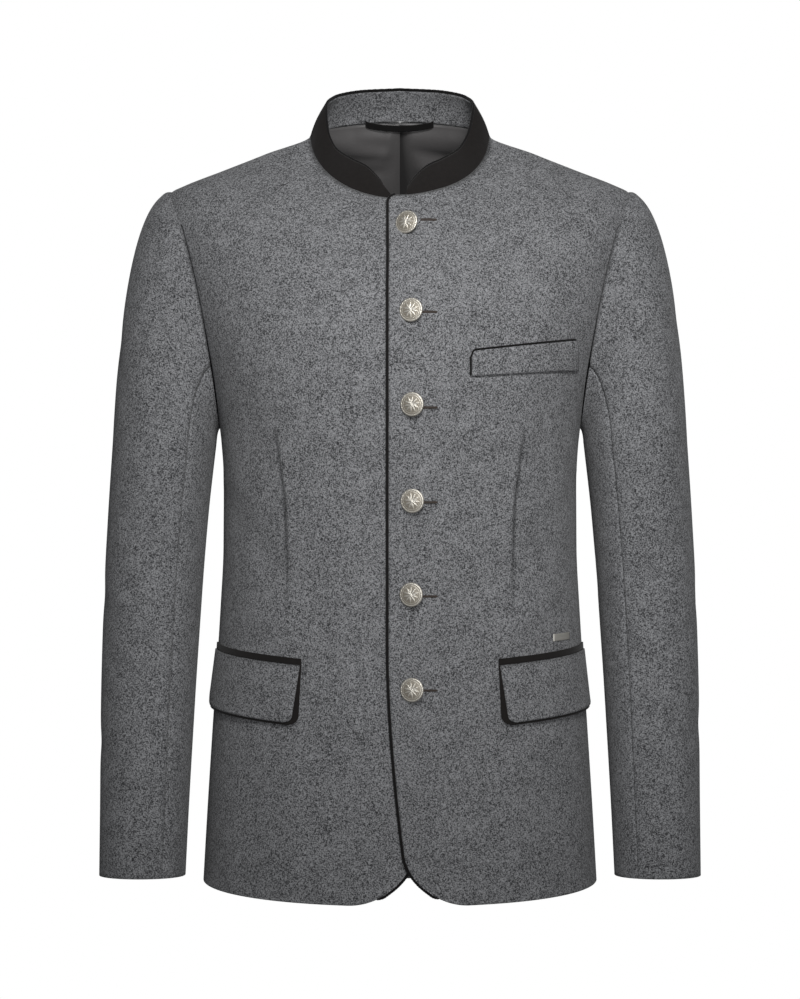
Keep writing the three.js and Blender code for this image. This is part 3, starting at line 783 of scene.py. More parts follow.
def math_node(tree, operation, a, b=0.0, c=0.0):
    """The output of a Math node."""
    return add(tree, "ShaderNodeMath", {0: a, 1: b, 2: c}, operation=operation).outputs[0]


def noise(tree, vector, scale, detail=2.0, roughness=0.5):
    """The value output of a Noise Texture node."""
    inputs = {"Vector": vector, "Scale": scale, "Detail": detail, "Roughness": roughness}
    return add(tree, "ShaderNodeTexNoise", inputs).outputs["Fac"]


def stretched(tree, vector, x, y, z, turn=0.0):
    """Coordinates scaled by three numbers and turned round Y."""
    inputs = {"Vector": vector, "Scale": (x, y, z), "Rotation": (0, turn, 0)}
    return add(tree, "ShaderNodeMapping", inputs).outputs["Vector"]


def melange_group():
    """Grain of fulled wool: pale and dark fibres in clumps of 1 to 3 mm with a faint twill."""
    inputs = [("Vector", "NodeSocketVector", (0, 0, 0)), ("Contrast", "NodeSocketFloat", 1.0)]
    outputs = [("Shade", "NodeSocketFloat"), ("Height", "NodeSocketFloat")]
    tree, given, result = group_tree("WoolGrain", inputs, outputs)
    place = given.outputs["Vector"]
    clump = noise(tree, place, 380, 3.0, 0.7)
    speck = noise(tree, place, 900, 3.0, 0.7)
    flat_run = noise(tree, stretched(tree, place, 500, 500, 1700, 0.35), 1.0, 1.0)
    steep_run = noise(tree, stretched(tree, place, 1700, 500, 500, 0.35), 1.0, 1.0)
    cloud = noise(tree, place, 60, 2.0)
    total = math_node(tree, "MULTIPLY", clump, 0.6)
    for part, weight in ((speck, 1.3), (flat_run, 0.8), (steep_run, 0.8), (cloud, 0.2)):
        total = math_node(tree, "MULTIPLY_ADD", part, weight, total)
    centred = math_node(tree, "SUBTRACT", total, 1.85)
    wide = math_node(tree, "MULTIPLY", centred, given.outputs["Contrast"])
    shade = math_node(tree, "ADD", wide, 0.5)
    tree.links.new(add(tree, "ShaderNodeClamp", {"Value": shade}).outputs[0], result.inputs["Shade"])
    nap = math_node(tree, "MULTIPLY_ADD", speck, 0.6, math_node(tree, "MULTIPLY", clump, 0.8))
    tree.links.new(nap, result.inputs["Height"])
    return tree


def nap_group():
    """Short dense nap: a fine value and a height."""
    inputs = [("Vector", "NodeSocketVector", (0, 0, 0)), ("Scale", "NodeSocketFloat", 1.0)]
    outputs = [("Shade", "NodeSocketFloat"), ("Height", "NodeSocketFloat")]
    tree, given, result = group_tree("FeltNap", inputs, outputs)
    scaled = add(
        tree,
        "ShaderNodeVectorMath",
        {0: given.outputs["Vector"], 3: given.outputs["Scale"]},
        operation="SCALE",
    ).outputs[0]
    fine = noise(tree, scaled, 1400, 2.0)
    broad = noise(tree, scaled, 240, 3.0)
    half = math_node(tree, "MULTIPLY", broad, 0.5)
    tree.links.new(math_node(tree, "MULTIPLY_ADD", fine, 0.5, half), result.inputs["Shade"])
    tree.links.new(fine, result.inputs["Height"])
    return tree


def surface(name, roughness, metallic=0.0, **constants):
    """A material with its tree and shader; constants are set on the shader's own sockets."""
    material = bpy.data.materials.new(name)
    material.use_nodes = True
    tree = material.node_tree
    shader = next(node for node in tree.nodes if node.type == "BSDF_PRINCIPLED")
    shader.inputs["Roughness"].default_value = roughness
    shader.inputs["Metallic"].default_value = metallic
    for key, value in constants.items():
        shader.inputs[key.replace("_", " ")].default_value = value
    place = tree.nodes.new("ShaderNodeTexCoord").outputs["Object"]
    return material, tree, shader, place


def use_group(tree, group, **inputs):
    """A group node with its inputs set."""
    node = tree.nodes.new("ShaderNodeGroup")
    node.node_tree = group
    for key, value in inputs.items():
        if isinstance(value, bpy.types.NodeSocket):
            tree.links.new(value, node.inputs[key])
        else:
            node.inputs[key].default_value = value
    return node


def mix_colour(tree, factor, a, b):
    """The colour output of a Mix node."""
    node = tree.nodes.new("ShaderNodeMix")
    node.data_type = "RGBA"
    for socket, value in ((node.inputs[0], factor), (node.inputs[6], a), (node.inputs[7], b)):
        if isinstance(value, bpy.types.NodeSocket):
            tree.links.new(value, socket)
        elif hasattr(value, "__len__"):
            socket.default_value = (*value, 1.0)
        else:
            socket.default_value = value
    return node.outputs[2]


def bump(tree, shader, height, strength, distance):
    """A Bump node into the shader's normal."""
    node = add(tree, "ShaderNodeBump", {"Height": height, "Strength": strength, "Distance": distance})
    tree.links.new(node.outputs["Normal"], shader.inputs["Normal"])


def attribute(tree, name):
    """The value of a layer at the points."""
    node = tree.nodes.new("ShaderNodeAttribute")
    node.attribute_name = name
    return node.outputs["Fac"]


def loden_material(name, dark, light, group, painted_shade=False):
    """Loden: matt wool of dark and light fibres, with painted shade darkening the seams and the dart groove
    where asked.
    """
    material, tree, shader, place = surface(
        name, 0.95, Specular_IOR_Level=0.15, Sheen_Weight=0.12, Sheen_Roughness=0.6
    )
    grain = use_group(tree, group, Vector=place, Contrast=2.6)
    colour = mix_colour(tree, grain.outputs["Shade"], dark, light)
    if painted_shade:
        # painted shade: the colour goes darker along the sewn seams and in the dart groove
        seam = attribute(tree, "seam")
        colour = mix_colour(tree, seam, colour, tuple(0.35 * part for part in dark))
    tree.links.new(colour, shader.inputs["Base Color"])
    bump(tree, shader, grain.outputs["Height"], 0.55, 0.0007)
    return material


def felt_material(name, colour, group, scale=1.0):
    """Felt: one dark colour with a matt nap."""
    material, tree, shader, place = surface(
        name, 0.97, Specular_IOR_Level=0.12, Sheen_Weight=0.10, Sheen_Roughness=0.5
    )
    nap = use_group(tree, group, Vector=place, Scale=scale)
    dark, light = (tuple(part * k for part in colour) for k in (0.6, 1.6))
    tree.links.new(mix_colour(tree, nap.outputs["Shade"], dark, light), shader.inputs["Base Color"])
    bump(tree, shader, nap.outputs["Height"], 0.5, 0.0004)
    return material


def satin_material(name, colour):
    """Satin lining with a soft sheen and a painted shadow along the pleat edge."""
    material, tree, shader, place = surface(
        name, 0.42, Specular_IOR_Level=0.4, Sheen_Weight=0.2, Anisotropic=0.5
    )
    weft = noise(tree, stretched(tree, place, 300, 300, 3600), 1.0, 1.0)
    dark, light = (tuple(part * k for part in colour) for k in (0.85, 1.15))
    shade = mix_colour(tree, weft, dark, light)
    # painted shadow: the lining goes darker along the pleat edge
    shade = mix_colour(tree, attribute(tree, "seam"), shade, tuple(part * 0.25 for part in colour))
    tree.links.new(shade, shader.inputs["Base Color"])
    bump(tree, shader, weft, 0.15, 0.0002)
    return material


def metal_material(name, raised, hollow, brushed=False):
    """Worn metal: raised colour on high relief, hollow colour in the low."""
    material, tree, shader, place = surface(name, 0.36, metallic=0.75)
    if brushed:
        worn = noise(tree, stretched(tree, place, 120, 120, 2600), 1.0, 2.0)
    else:
        cloud = noise(tree, place, 700, 3.0)
        high = math_node(tree, "SUBTRACT", attribute(tree, "relief"), 0.25)
        value = math_node(tree, "MULTIPLY_ADD", cloud, 0.5, high)
        worn = add(tree, "ShaderNodeClamp", {"Value": value}).outputs[0]
    tree.links.new(mix_colour(tree, worn, hollow, raised), shader.inputs["Base Color"])
    rough = math_node(tree, "MULTIPLY_ADD", worn, -0.22, 0.56)
    tree.links.new(rough, shader.inputs["Roughness"])
    bump(tree, shader, noise(tree, place, 2600, 2.0), 0.15, 0.0002)
    return material


def material_of(name):
    """A named material, made on first use from the scene's colours."""
    if name in bpy.data.materials:
        return bpy.data.materials[name]
    tint = bpy.context.scene.jacket_colours
    wool = bpy.data.node_groups.get("WoolGrain") or melange_group()
    nap = bpy.data.node_groups.get("FeltNap") or nap_group()
    dark, light, silver = tuple(tint.loden_dark), tuple(tint.loden_light), tuple(tint.silver)
    makers = {
        "Loden": lambda: loden_material(name, dark, light, wool, painted_shade=True),
        "Loden_plain": lambda: loden_material(name, dark, light, wool),
        "Felt": lambda: felt_material(name, tuple(tint.felt), nap),
        "Cord": lambda: felt_material(name, tuple(tint.cord), nap, 1.6),
        "Thread": lambda: felt_material(name, tuple(tint.thread), nap, 2.0),
        "Satin": lambda: satin_material(name, tuple(tint.lining)),
        "Silver": lambda: metal_material(name, silver, tuple(tint.hollow)),
        "Plate": lambda: metal_material(name, silver, tuple(0.6 * part for part in silver), True),
    }
    return makers[name]()


def sizes():
    """The scene's jacket sizes."""
    return bpy.context.scene.jacket_sizes


def spread(count, start=0.0, stop=1.0):
    """Even steps, count + 1 of them."""
    return np.linspace(start, stop, count + 1)


def seam_drop(points, sides_in):
    """Edges that are sewn lie lower: minus depth * exp(-(distance / 2.4 mm)^2) at each one.
    sides_in picks them: start of the row, end of the row, start of the column, end of it."""
    depth = sizes().seam_depth / MM
    total = np.zeros(points.shape[:-1])
    for distance, sewn in zip(edge_distance(points), sides_in):
        if sewn:
            total -= depth * np.exp(-((distance / 2.4) ** 2))
    return total


def painted_seam_shade(points, sides_in, extra=None):
    """Painted shade in the grooves of the sewn edges, 0 to 1, over a millimetre and a half."""
    total = np.zeros(points.shape[:-1]) if extra is None else extra.copy()
    for distance, sewn in zip(edge_distance(points), sides_in):
        if sewn:
            total = np.maximum(total, 0.7 * np.exp(-((distance / 1.1) ** 2)))
    return {"seam": total}


# ---------------------------------------------------------------- operators


class JacketOperator:
    """What the piece operators share."""

    bl_options = {"REGISTER", "UNDO"}

    def execute(self, context):
        self.make()
        return {"FINISHED"}


SIDES = (("left", 1), ("right", -1))


class JACKET_OT_fronts(JacketOperator, bpy.types.Operator):
    """Two fronts with darts and creases; the left one laps over the right one"""

    bl_idname = "jacket.fronts"
    bl_label = "Fronts"

    def make(self):
        cell = 1.15 * sizes().grid / MM
        # finer towards the front edge and the hem, where the corner turns
        us = spread(int(380 / cell)) ** 1.06
        lower = spread(int(470 / cell)) ** 1.12 * LOW_SHARE
        middle = spread(int(250 / cell), LOW_SHARE, HIGH_SHARE)[1:]
        upper = spread(int(110 / cell), HIGH_SHARE, 1)[1:]
        vs = np.concatenate([lower, middle, upper])
        for label, side in SIDES:

            def raised(u, v, point, side=side):
                x, z = point[..., 0], point[..., 2]
                calm = smooth(x * side, 0, 30) * (1 - smooth(v, 0.93, 1)) * smooth(1 - u, 0, 0.08)
                calm *= np.where(side * x > 60, 1, smooth(v, 0.0, 0.06) * 0.6 + 0.4)
                near_edge = np.exp(-(((side * x - (LEFT_EDGE if side > 0 else RIGHT_EDGE)) / 3.0) ** 2))
                relief = folds(x, z, FRONT_FOLDS[side]) * sizes().crease * calm
                relief += dart(x, z)[0] - 0.25 * near_edge
                return relief + seam_drop(point, (False, True, False, False))

            def painted_shade_at(u, v, point, side=side):
                x, z = point[..., 0], point[..., 2]
                # painted shade along the side seam, the neck seam and in the dart groove
                return painted_seam_shade(point, (False, True, False, True), 0.8 * dart(x, z)[1])

            cloth(
                f"front_{label}_loden",
                lambda u, v, side=side: front_place(side, u, v),
                us,
                vs,
                LODEN_WALL,
                material_of("Loden"),
                "loden",
                [f"front_{label}"],
                raised,
                painted_shade_at,
            )


class JACKET_OT_backs(JacketOperator, bpy.types.Operator):
    """Two backs with a centre seam"""

    bl_idname = "jacket.backs"
    bl_label = "Backs"

    def make(self):
        cell = 1.9 * sizes().grid / MM
        us = spread(int(300 / cell))
        lower = spread(int(450 / cell)) * LOW_SHARE
        middle = spread(int(250 / cell), LOW_SHARE, HIGH_SHARE)[1:]
        upper = spread(int(90 / cell), HIGH_SHARE, 1)[1:]
        vs = np.concatenate([lower, middle, upper])
        sewn = (True, True, False, True)
        for label, side in SIDES:

            def raised(u, v, point):
                calm = smooth(u, 0, 0.05) * smooth(1 - u, 0, 0.08) * (1 - smooth(v, 0.93, 1))
                relief = folds(point[..., 0], point[..., 2], BACK_FOLDS) * sizes().crease * calm
                return relief + seam_drop(point, (True, True, False, False))

            cloth(
                f"back_{label}_loden",
                lambda u, v, side=side: back_place(side, u, v),
                us,
                vs,
                LODEN_WALL,
                material_of("Loden"),
                "loden",
                [f"back_{label}"],
                raised,
                # painted shade along the centre back, side and neck seams
                lambda u, v, point: painted_seam_shade(point, sewn),
            )


class JACKET_OT_sleeves(JacketOperator, bpy.types.Operator):
    """Two-piece sleeves with soft folds at the elbow and under the cap"""

    bl_idname = "jacket.sleeves"
    bl_label = "Sleeves"

    def make(self):
        cell = 1.25 * sizes().grid / MM
        upper, lower = spread(int(280 / cell)) ** 1.25, 1 + spread(int(420 / cell))[1:]
        vs = np.concatenate([[-0.03, -0.015], upper, lower])
        gap = SEAM_GAP * 0.6
        arcs = {"top": (BACK_SEAM - 360, FRONT_SEAM), "under": (FRONT_SEAM, BACK_SEAM)}
        sewn = (True, True, False, False)
        for piece, (start, stop) in arcs.items():
            us = spread(int((stop - start) * 1.1 / cell), start + gap, stop - gap)
            for label, side in SIDES:

                def raised(u, v, point, side=side, start=start, stop=stop):
                    calm = smooth(v, 0.0, 0.3) * (1 - smooth(v, 1.9, 2))
                    calm = calm * smooth(u - start, 0, 12) * smooth(stop - u, 0, 12)
                    turns = [(a / 100, t0, b / 100, t1, w, h) for a, t0, b, t1, w, h in SLEEVE_FOLDS[side]]
                    relief = folds(u / 100, v, turns) * sizes().crease * calm
                    ripple = 1 + 0.5 * np.sin(np.radians(u * 9))
                    ease = 0.5 * np.exp(-(((v - 0.05) / 0.035) ** 2)) * ripple
                    ease *= smooth(np.cos(np.radians(u)), -0.2, 0.5)
                    tuck = -TUCK * smooth(-v, 0, 0.02) - 0.7 * np.exp(-((v / 0.02) ** 2))
                    return relief + ease + tuck + seam_drop(point, sewn)

                cloth(
                    f"sleeve_{piece}_{label}_loden",
                    lambda u, v, side=side: sleeve_place(side, u, v),
                    us,
                    vs,
                    LODEN_WALL,
                    material_of("Loden"),
                    "loden",
                    [f"sleeve_{piece}_{label}"],
                    raised,
                    # painted shade at the armhole seam, where the sleeve tucks under
                    lambda u, v, point: {"seam": 0.35 * np.exp(-((v / 0.012) ** 2))},
                )


class JACKET_OT_collar(JacketOperator, bpy.types.Operator):
    """Stand collar of black felt outside and grey loden inside, with a cord on its top edge"""

    bl_idname = "jacket.collar"
    bl_label = "Collar"

    def make(self):
        half = 4 + 176 * spread(150) ** 1.25
        us = np.concatenate([half - 360, -half[::-1][1:]])
        vs = spread(20)
        faces = (
            ("collar_felt", "collar_outer", "Felt", "felt", 0.0),
            ("collar_facing", "collar_inner", "Loden_plain", "loden", FELT_WALL + LAYER_GAP),
        )
        for name, node, finish, slot, depth in faces:
            cloth(
                name,
                collar_place,
                us,
                vs,
                FELT_WALL,
                material_of(finish),
                slot,
                [node],
                lambda u, v, point, depth=depth: np.full(u.shape, -depth),
            )
        ends = slice(3, -3)
        rim, normal = collar_place(us, np.ones_like(us))
        below, _ = collar_place(us, np.full_like(us, 0.8))
        lean = unit(rim - below)
        path = rim - normal * FELT_WALL * 0.9 + lean * (CORD_RADIUS + CORD_GAP)
        tube(
            "collar_cord",
            path[ends],
            CORD_RADIUS * 1.1,
            material_of("Cord"),
            "cord",
            ["collar_piping"],
            0.10,
            1.2,
        )


class JACKET_OT_cords(JacketOperator, bpy.types.Operator):
    """Cords down the front edges, round the corners and a little along the hem"""

    bl_idname = "jacket.cords"
    bl_label = "Edge cords"

    def make(self):
        grow = CORD_RADIUS + CORD_GAP
        top, neck, turn, along = 0.985, 0.05, 0.045, 0.04
        for label, side in SIDES:
            over = spread(24) if side > 0 else np.zeros(0)
            us = np.concatenate([neck * (1 - over), np.zeros(640), along * spread(60)[1:]])
            start = 1.0 if side > 0 else top
            down, corner_run = mix(start, turn, spread(559)), mix(turn, 0, spread(80)[1:])
            vs = np.concatenate([np.ones(len(over)), down, corner_run, np.zeros(60)])
            us, vs = us[1:], vs[1:]
            # the end tucks in behind the hem
            tucked = 1.3 * smooth(us * (vs == 0), 0.4 * along, along)
            point, normal = front_place(side, us, vs, grow * (1 - tucked))
            point, normal = resampled(point, normal, 0.9)
            tube(
                f"edge_cord_{label}",
                point - normal * LODEN_WALL / 2,
                CORD_RADIUS * 1.1,
                material_of("Cord"),
                "cord",
                [f"front_piping_{label}"],
                0.10,
                1.2,
            )


def pocket_place(side, inner, top, height, slant, radius, u, v):
    """A piece below the slanted pocket mouth. Its lower front corner turns on a radius: the last
    column that is left at a depth is pushed back by r - sqrt(r^2 - d^2)."""
    mouth = mix(-506, -493.5, u) - top
    depth = height * v
    low = np.clip(depth - (height - radius), 0, radius)
    push = (radius - np.sqrt(radius**2 - low**2)) * 0.42
    angle = mix(inner, 84, u) + (slant * v + push) * (1 - u)
    return front_frame(side, angle, mouth - depth)


class JACKET_OT_pockets(JacketOperator, bpy.types.Operator):
    """Flap pockets: a black jet, and a flap with its black backing showing at the edges"""

    bl_idname = "jacket.pockets"
    bl_label = "Pockets"

    def make(self):
        us = spread(90)
        thin = FELT_WALL * 0.6
        backing = LAYER_GAP + thin
        jet_lift, flap_lift = LAYER_GAP + FELT_WALL, backing + LAYER_GAP + FLAP_WALL
        # part, node, finish and slot, then the shape for pocket_place: inner edge, top, height,
        # slant and corner radius, then wall, lift, flare and rows
        pieces = (
            ("jet", "pocket_jet", "Felt", "felt", (28.5, 0.0, 6.0, 0.0, 0.01), FELT_WALL, jet_lift, 0.0, 8),
            ("backing", "flap_backing", "Felt", "felt", (28.5, 6.3, 56.4, 0.4, 9.0), thin, backing, 2.6, 44),
            ("flap", "flap", "Loden", "loden", (28.9, 6.3, 54.0, 2.4, 6.5), FLAP_WALL, flap_lift, 2.6, 44),
        )
        for label, side in SIDES:
            for part, node, finish, slot, shape, wall, raise_by, flare, rows in pieces:
                is_flap = part == "flap"

                def raised(u, v, point, raise_by=raise_by, flare=flare, is_flap=is_flap, side=side):
                    lift = raise_by + flare * v
                    if is_flap:
                        edges = edge_distance(point)
                        nearest = np.minimum(np.minimum(edges[0], edges[1]), edges[3])
                        lift = lift - 0.9 * np.exp(-((nearest / 1.8) ** 2))
                        lift = lift - 0.35 * np.exp(-(((nearest - 5.5) / 1.3) ** 2))
                        wave = np.sin(u * 5.3 + (0.8 if side > 0 else 2.1))
                        lift = lift + 0.8 * wave * v * smooth(1 - v, 0, 0.2)
                    return lift

                def painted_shade_at(u, v, point):
                    # painted shade along the flap's top edge, under the jet
                    return {"seam": 0.35 * np.exp(-((edge_distance(point)[2] / 2.0) ** 2))}

                cloth(
                    f"pocket_{part}_{label}",
                    lambda u, v, side=side, shape=shape: pocket_place(side, *shape, u, v),
                    us,
                    spread(rows),
                    wall,
                    material_of(finish),
                    slot,
                    [f"{node}_{label}"],
                    raised,
                    painted_shade_at if is_flap else None,
                    rests_on=[f"front_{label}_loden"],
                )


def welt_place(u, v):
    """The breast welt's strip. The top corners turn on a radius of 4 mm."""
    x = mix(67, 168, u)
    low, high = mix(-240.7, -233.2, u), mix(-217.3, -205, u)
    radius = 4.0
    end = np.minimum(x - 67, 168 - x)
    into = np.clip(radius - end, 0, radius)
    z = mix(low, high - (radius - np.sqrt(radius**2 - into**2)), v)
    return front_frame(1, angle_at(x, z), z)


class JACKET_OT_welt(JacketOperator, bpy.types.Operator):
    """Breast pocket welt with a thin cord on its front and top edges"""

    bl_idname = "jacket.welt"
    bl_label = "Breast welt"

    def make(self):
        lift = 0.8

        def raised(u, v, point):
            nearest = np.minimum.reduce(edge_distance(point))
            return lift + LODEN_WALL - 0.7 * np.exp(-((nearest / 1.8) ** 2))

        cloth(
            "breast_welt_loden",
            welt_place,
            spread(80),
            spread(22),
            LODEN_WALL,
            material_of("Loden_plain"),
            "loden",
            ["breast_welt"],
            raised,
            rests_on=["front_left_loden"],
        )
        side_u, top_v = -0.013, 1.05
        up, normal_up = welt_place(np.full(30, 0.0), spread(29) * 0.9)
        up = up + np.array([side_u * 101, 0, 0])
        across, normal_across = welt_place(spread(90) * 0.985, np.full(91, top_v))
        path = np.concatenate([up + normal_up * (lift + 1.0), across + normal_across * (lift + 1.0)])
        tube(
            "welt_cord",
            path,
            0.9,
            material_of("Cord"),
            "cord",
            ["breast_welt_piping"],
            0.1,
            1.5,
            10,
        )


def rosette(radius, angle):
    """Relief of a button, 0 to 1: a roped rim, a ring of beads, ten pointed petals round seven
    and a beaded centre. radius is 0 at the centre and 1 at the rim."""
    rope = np.exp(-(((radius - 0.91) / 0.055) ** 2)) * (0.72 + 0.28 * np.cos(34 * angle + 40 * radius))
    beads = 0.55 * np.exp(-(((radius - 0.745) / 0.036) ** 2)) * (0.6 + 0.4 * np.cos(40 * angle))
    total = np.maximum(rope, beads)
    for count, tip, width, shift, height in ((10, 0.68, 0.36, 0.0, 0.75), (7, 0.46, 0.34, 0.5, 0.9)):
        turn = (angle * count / (2 * np.pi) + shift) % 1 - 0.5
        along = np.clip(radius / tip, 0, 1)
        half = width * np.sin(np.pi * along**0.75) + 1e-3
        petal = np.clip(1 - (np.abs(turn) / half) ** 2, 0, 1) * (along < 1)
        vein = 1 - 0.35 * np.exp(-((turn / 0.035) ** 2))
        total = np.maximum(total, height * petal * vein)
    centre = np.clip(1 - (radius / 0.17) ** 2, 0, 1) * (0.95 + 0.15 * np.cos(9 * angle))
    return np.maximum(total, 1.1 * np.sqrt(centre.clip(0)))


class JACKET_OT_buttons(JacketOperator, bpy.types.Operator):
    """Six domed buttons of antique silver with a rosette in relief, on shanks"""

    bl_idname = "jacket.buttons"
    bl_label = "Buttons"

    def make(self):
        size = sizes().button_radius / MM
        around = 160
        angle = np.arange(around) * 2 * np.pi / around
        r = spread(64)[1:] * 0.985
        radius, turn = np.meshgrid(r, angle, indexing="ij")
        relief = rosette(radius, turn)
        dome = 3.9 + 1.75 * (1 - radius**2) ** 0.9
        top_z = dome + 0.42 * relief - 0.25 + 0.05 * np.cos(17 * turn + 30 * radius)
        # radius as a share of the button's, and height in millimetres, from the rim to the foot
        rim = np.array(
            [(1.0, 3.45), (0.995, 2.95), (0.94, 2.35), (0.80, 2.1), (0.26, 1.95), (0.22, 1.2), (0.22, 0.35)]
        )
        rim_radius, rim_z = (part[:, None] * np.ones(around) for part in rim.T)
        all_radius = np.concatenate([radius, rim_radius]) * size
        all_z = np.concatenate([top_z, rim_z])
        all_turn = np.broadcast_to(angle, all_radius.shape)
        ring = xyz(all_radius * np.cos(all_turn), all_radius * np.sin(all_turn), all_z)
        rows = len(ring)
        top = np.array([[0, 0, top_z[0].mean() + 0.05]])
        foot = np.array([[0, 0, 0.35]])
        local = np.concatenate([ring.reshape(-1, 3), top, foot])
        shade = np.concatenate([relief, np.full((len(rim), around), 0.35)]).ravel()
        shade = np.concatenate([shade, [1.0, 0.2]])
        number = np.arange(rows * around).reshape(rows, around)
        nxt = np.roll(number, -1, axis=1)
        quads = np.stack([number[:-1], number[1:], nxt[1:], nxt[:-1]], -1).reshape(-1, 4)
        cap = fan(number[0], nxt[0], rows * around)
        end = fan(nxt[-1], number[-1], rows * around + 1)
        # roll round the shank, lean to the wearer's right, extra shank, place across and shift up
        hangs = (
            (20, 26, 2.4, 8.5, -4.3),
            (4, 19, 1.5, 11.7, 0.8),
            (-7, 20, 1.6, 12.7, 2.5),
            (11, 18, 1.4, 12.7, 1.0),
            (-3, 20, 1.6, 11.9, 1.4),
            (6, 19, 1.5, 12.5, 0.3),
        )
        for i, (roll, lean, shank, across, drop) in enumerate(hangs):
            height = np.array(TOP_BUTTON - BUTTON_PITCH * i + drop)
            point, normal = front_frame(1, angle_at(np.array(across), height), height)
            facing = Vector(unit(normal * np.array([1, 1, 0.35])))
            facing.rotate(Matrix.Rotation(-math.radians(lean), 3, "Z"))
            axis = facing.to_track_quat("Z", "Y").to_matrix()
            turned = np.array(axis @ Matrix.Rotation(math.radians(roll), 3, "Z"))
            lifted = local + np.array([0, 0, shank]) * (local[:, 2:] > 1.5)
            points = lifted @ turned.T + point
            ring_object(
                f"button_{i + 1}_silver",
                points,
                [quads, cap, end],
                material_of("Silver"),
                "silver",
                [f"button_{i + 1}"],
                {"relief": shade},
            )


class JACKET_OT_buttonholes(JacketOperator, bpy.types.Operator):
    """Thread buttonholes beside the buttons: a bar with a slit, and an eye under the button"""

    bl_idname = "jacket.buttonholes"
    bl_label = "Buttonholes"

    def make(self):
        us, vs = spread(56), spread(14)
        u, v = np.meshgrid(us, vs)
        for i in range(6):
            x = mix(19.5, 35.0, u)
            half = 1.15 * np.sqrt(np.clip(1 - np.clip((u - 0.86) / 0.14, 0, 1) ** 2, 0.02, 1))
            z = TOP_BUTTON - BUTTON_PITCH * i - 0.4 + half * (2 * v - 1)
            point, normal = front_frame(1, angle_at(x, z), z)
            across = 2 * v - 1
            thread = 0.35 + 0.38 * np.sqrt(np.clip(1 - (2 * np.abs(across) - 1) ** 2, 0, 1))
            thread += 0.09 * np.sin(u * 150 + across * 2)
            outer = point + normal * (thread * smooth(1 - np.abs(across), 0, 0.15) + 0.12)[..., None]
            inner = point + normal * 0.05
            points = np.concatenate([outer.reshape(-1, 3), inner.reshape(-1, 3)])
            label = f"buttonhole_{i + 1}"
            ride(new_object(label, points, wall_faces(*u.shape), material_of("Thread")), "cord")


class JACKET_OT_tag(JacketOperator, bpy.types.Operator):
    """A small bare metal plate above the left pocket"""

    bl_idname = "jacket.tag"
    bl_label = "Tag"

    def make(self):
        u, v = np.meshgrid(spread(24), spread(12))
        x = mix(145.5, 161.5, u)
        z = mix(-487.5, -486, u) + 7 * (v - 0.5)
        point, normal = front_frame(1, angle_at(x, z), z)
        away = np.minimum(np.minimum(u, 1 - u) * 16, np.minimum(v, 1 - v) * 7)
        lift = 0.7 + LAYER_GAP - 0.3 * np.exp(-((away / 0.5) ** 2))
        outer = point + normal * lift[..., None]
        inner = point + normal * (LAYER_GAP * 0.9)
        points = np.concatenate([outer.reshape(-1, 3), inner.reshape(-1, 3)])
        thing = new_object("tag_plate", points, wall_faces(*u.shape), material_of("Plate"))
        ride(thing, "plate", ["tag"])


LINING_FOLDS = [
    (8, -6, 70, -16, 5, 1.6),
    (6, -22, 84, -30, 6, -2.2),
    (8, -42, 92, -36, 6, 2.4),
    (6, -60, 100, -52, 7, -2.2),
    (4, -76, 100, -84, 8, 2.0),
    (-6, -10, -72, -4, 5, -1.8),
    (-6, -26, -84, -34, 6, 2.2),
    (-6, -44, -96, -46, 6, -2.0),
    (-4, -58, -100, -66, 7, 2.2),
    (-6, -78, -104, -82, 8, -1.8),
]


class JACKET_OT_lining(JacketOperator, bpy.types.Operator):
    """Satin lining of the back; its right half comes forward at the centre as a pleat"""

    bl_idname = "jacket.lining"
    bl_label = "Back lining"

    def make(self):
        cell = 2.2 * sizes().grid / MM
        lower = spread(int(440 / cell), 0.02, LOW_SHARE)
        upper = spread(int(520 / cell), LOW_SHARE, 0.999)[1:]
        vs = np.concatenate([lower, upper])
        for label, side in SIDES:
            us = spread(int(300 / cell), -0.05 if side > 0 else 0.0, 0.985)

            def raised(u, v, point, side=side):
                pleat = 3 * (1 - smooth(u, 0, 0.14)) if side < 0 else 0
                calm = smooth(u, 0.01, 0.08) * smooth(0.985 - u, 0, 0.1) * smooth(0.999 - v, 0, 0.03)
                soft = 1.8 * folds(point[..., 0], point[..., 2], LINING_FOLDS) * calm
                return -LODEN_WALL - LAYER_GAP - 4.2 * calm - pleat + soft

            def painted_shade_at(u, v, point, side=side):
                # painted shadow cast by the right half's pleat edge onto the left half at the centre
                return {"seam": (side > 0) * np.exp(-((np.maximum(u, 0) / 0.03) ** 2))}

            cloth(
                f"lining_{label}_satin",
                lambda u, v, side=side: back_place(side, u, v),
                us,
                vs,
                LINING_WALL,
                material_of("Satin"),
                "lining",
                [f"lining_back_{label}"],
                raised,
                painted_shade_at,
                held="hung",
            )


class JACKET_OT_hanger(JacketOperator, bpy.types.Operator):
    """Flat hanger loop inside the back of the neck"""

    bl_idname = "jacket.hanger"
    bl_label = "Hanger loop"

    def make(self):
        def place(u, v):
            x = mix(-35, 34, u)
            z = 20 - 2.2 * np.sin(np.pi * u) ** 0.7 - 5.6 * v
            angle = 180 - angle_at(np.abs(x), z)
            point, normal = frame_of(body_point, angle, z, 0.5, 0.5)
            way = np.where(x < 0, -1.0, 1.0)[..., None] * np.array([1, 0, 0]) + np.array([0, 1, 1])
            return point * way, normal * way

        base = LODEN_WALL + LINING_WALL + 2 * LAYER_GAP
        cloth(
            "hanger_tape",
            place,
            spread(80, 0.0001, 0.9999),
            spread(8),
            0.9,
            material_of("Cord"),
            "loop_tape",
            ["hanger_loop"],
            lambda u, v, point: -base - 4.6 * np.sin(np.pi * u) ** 0.5,
            held="hung",
        )


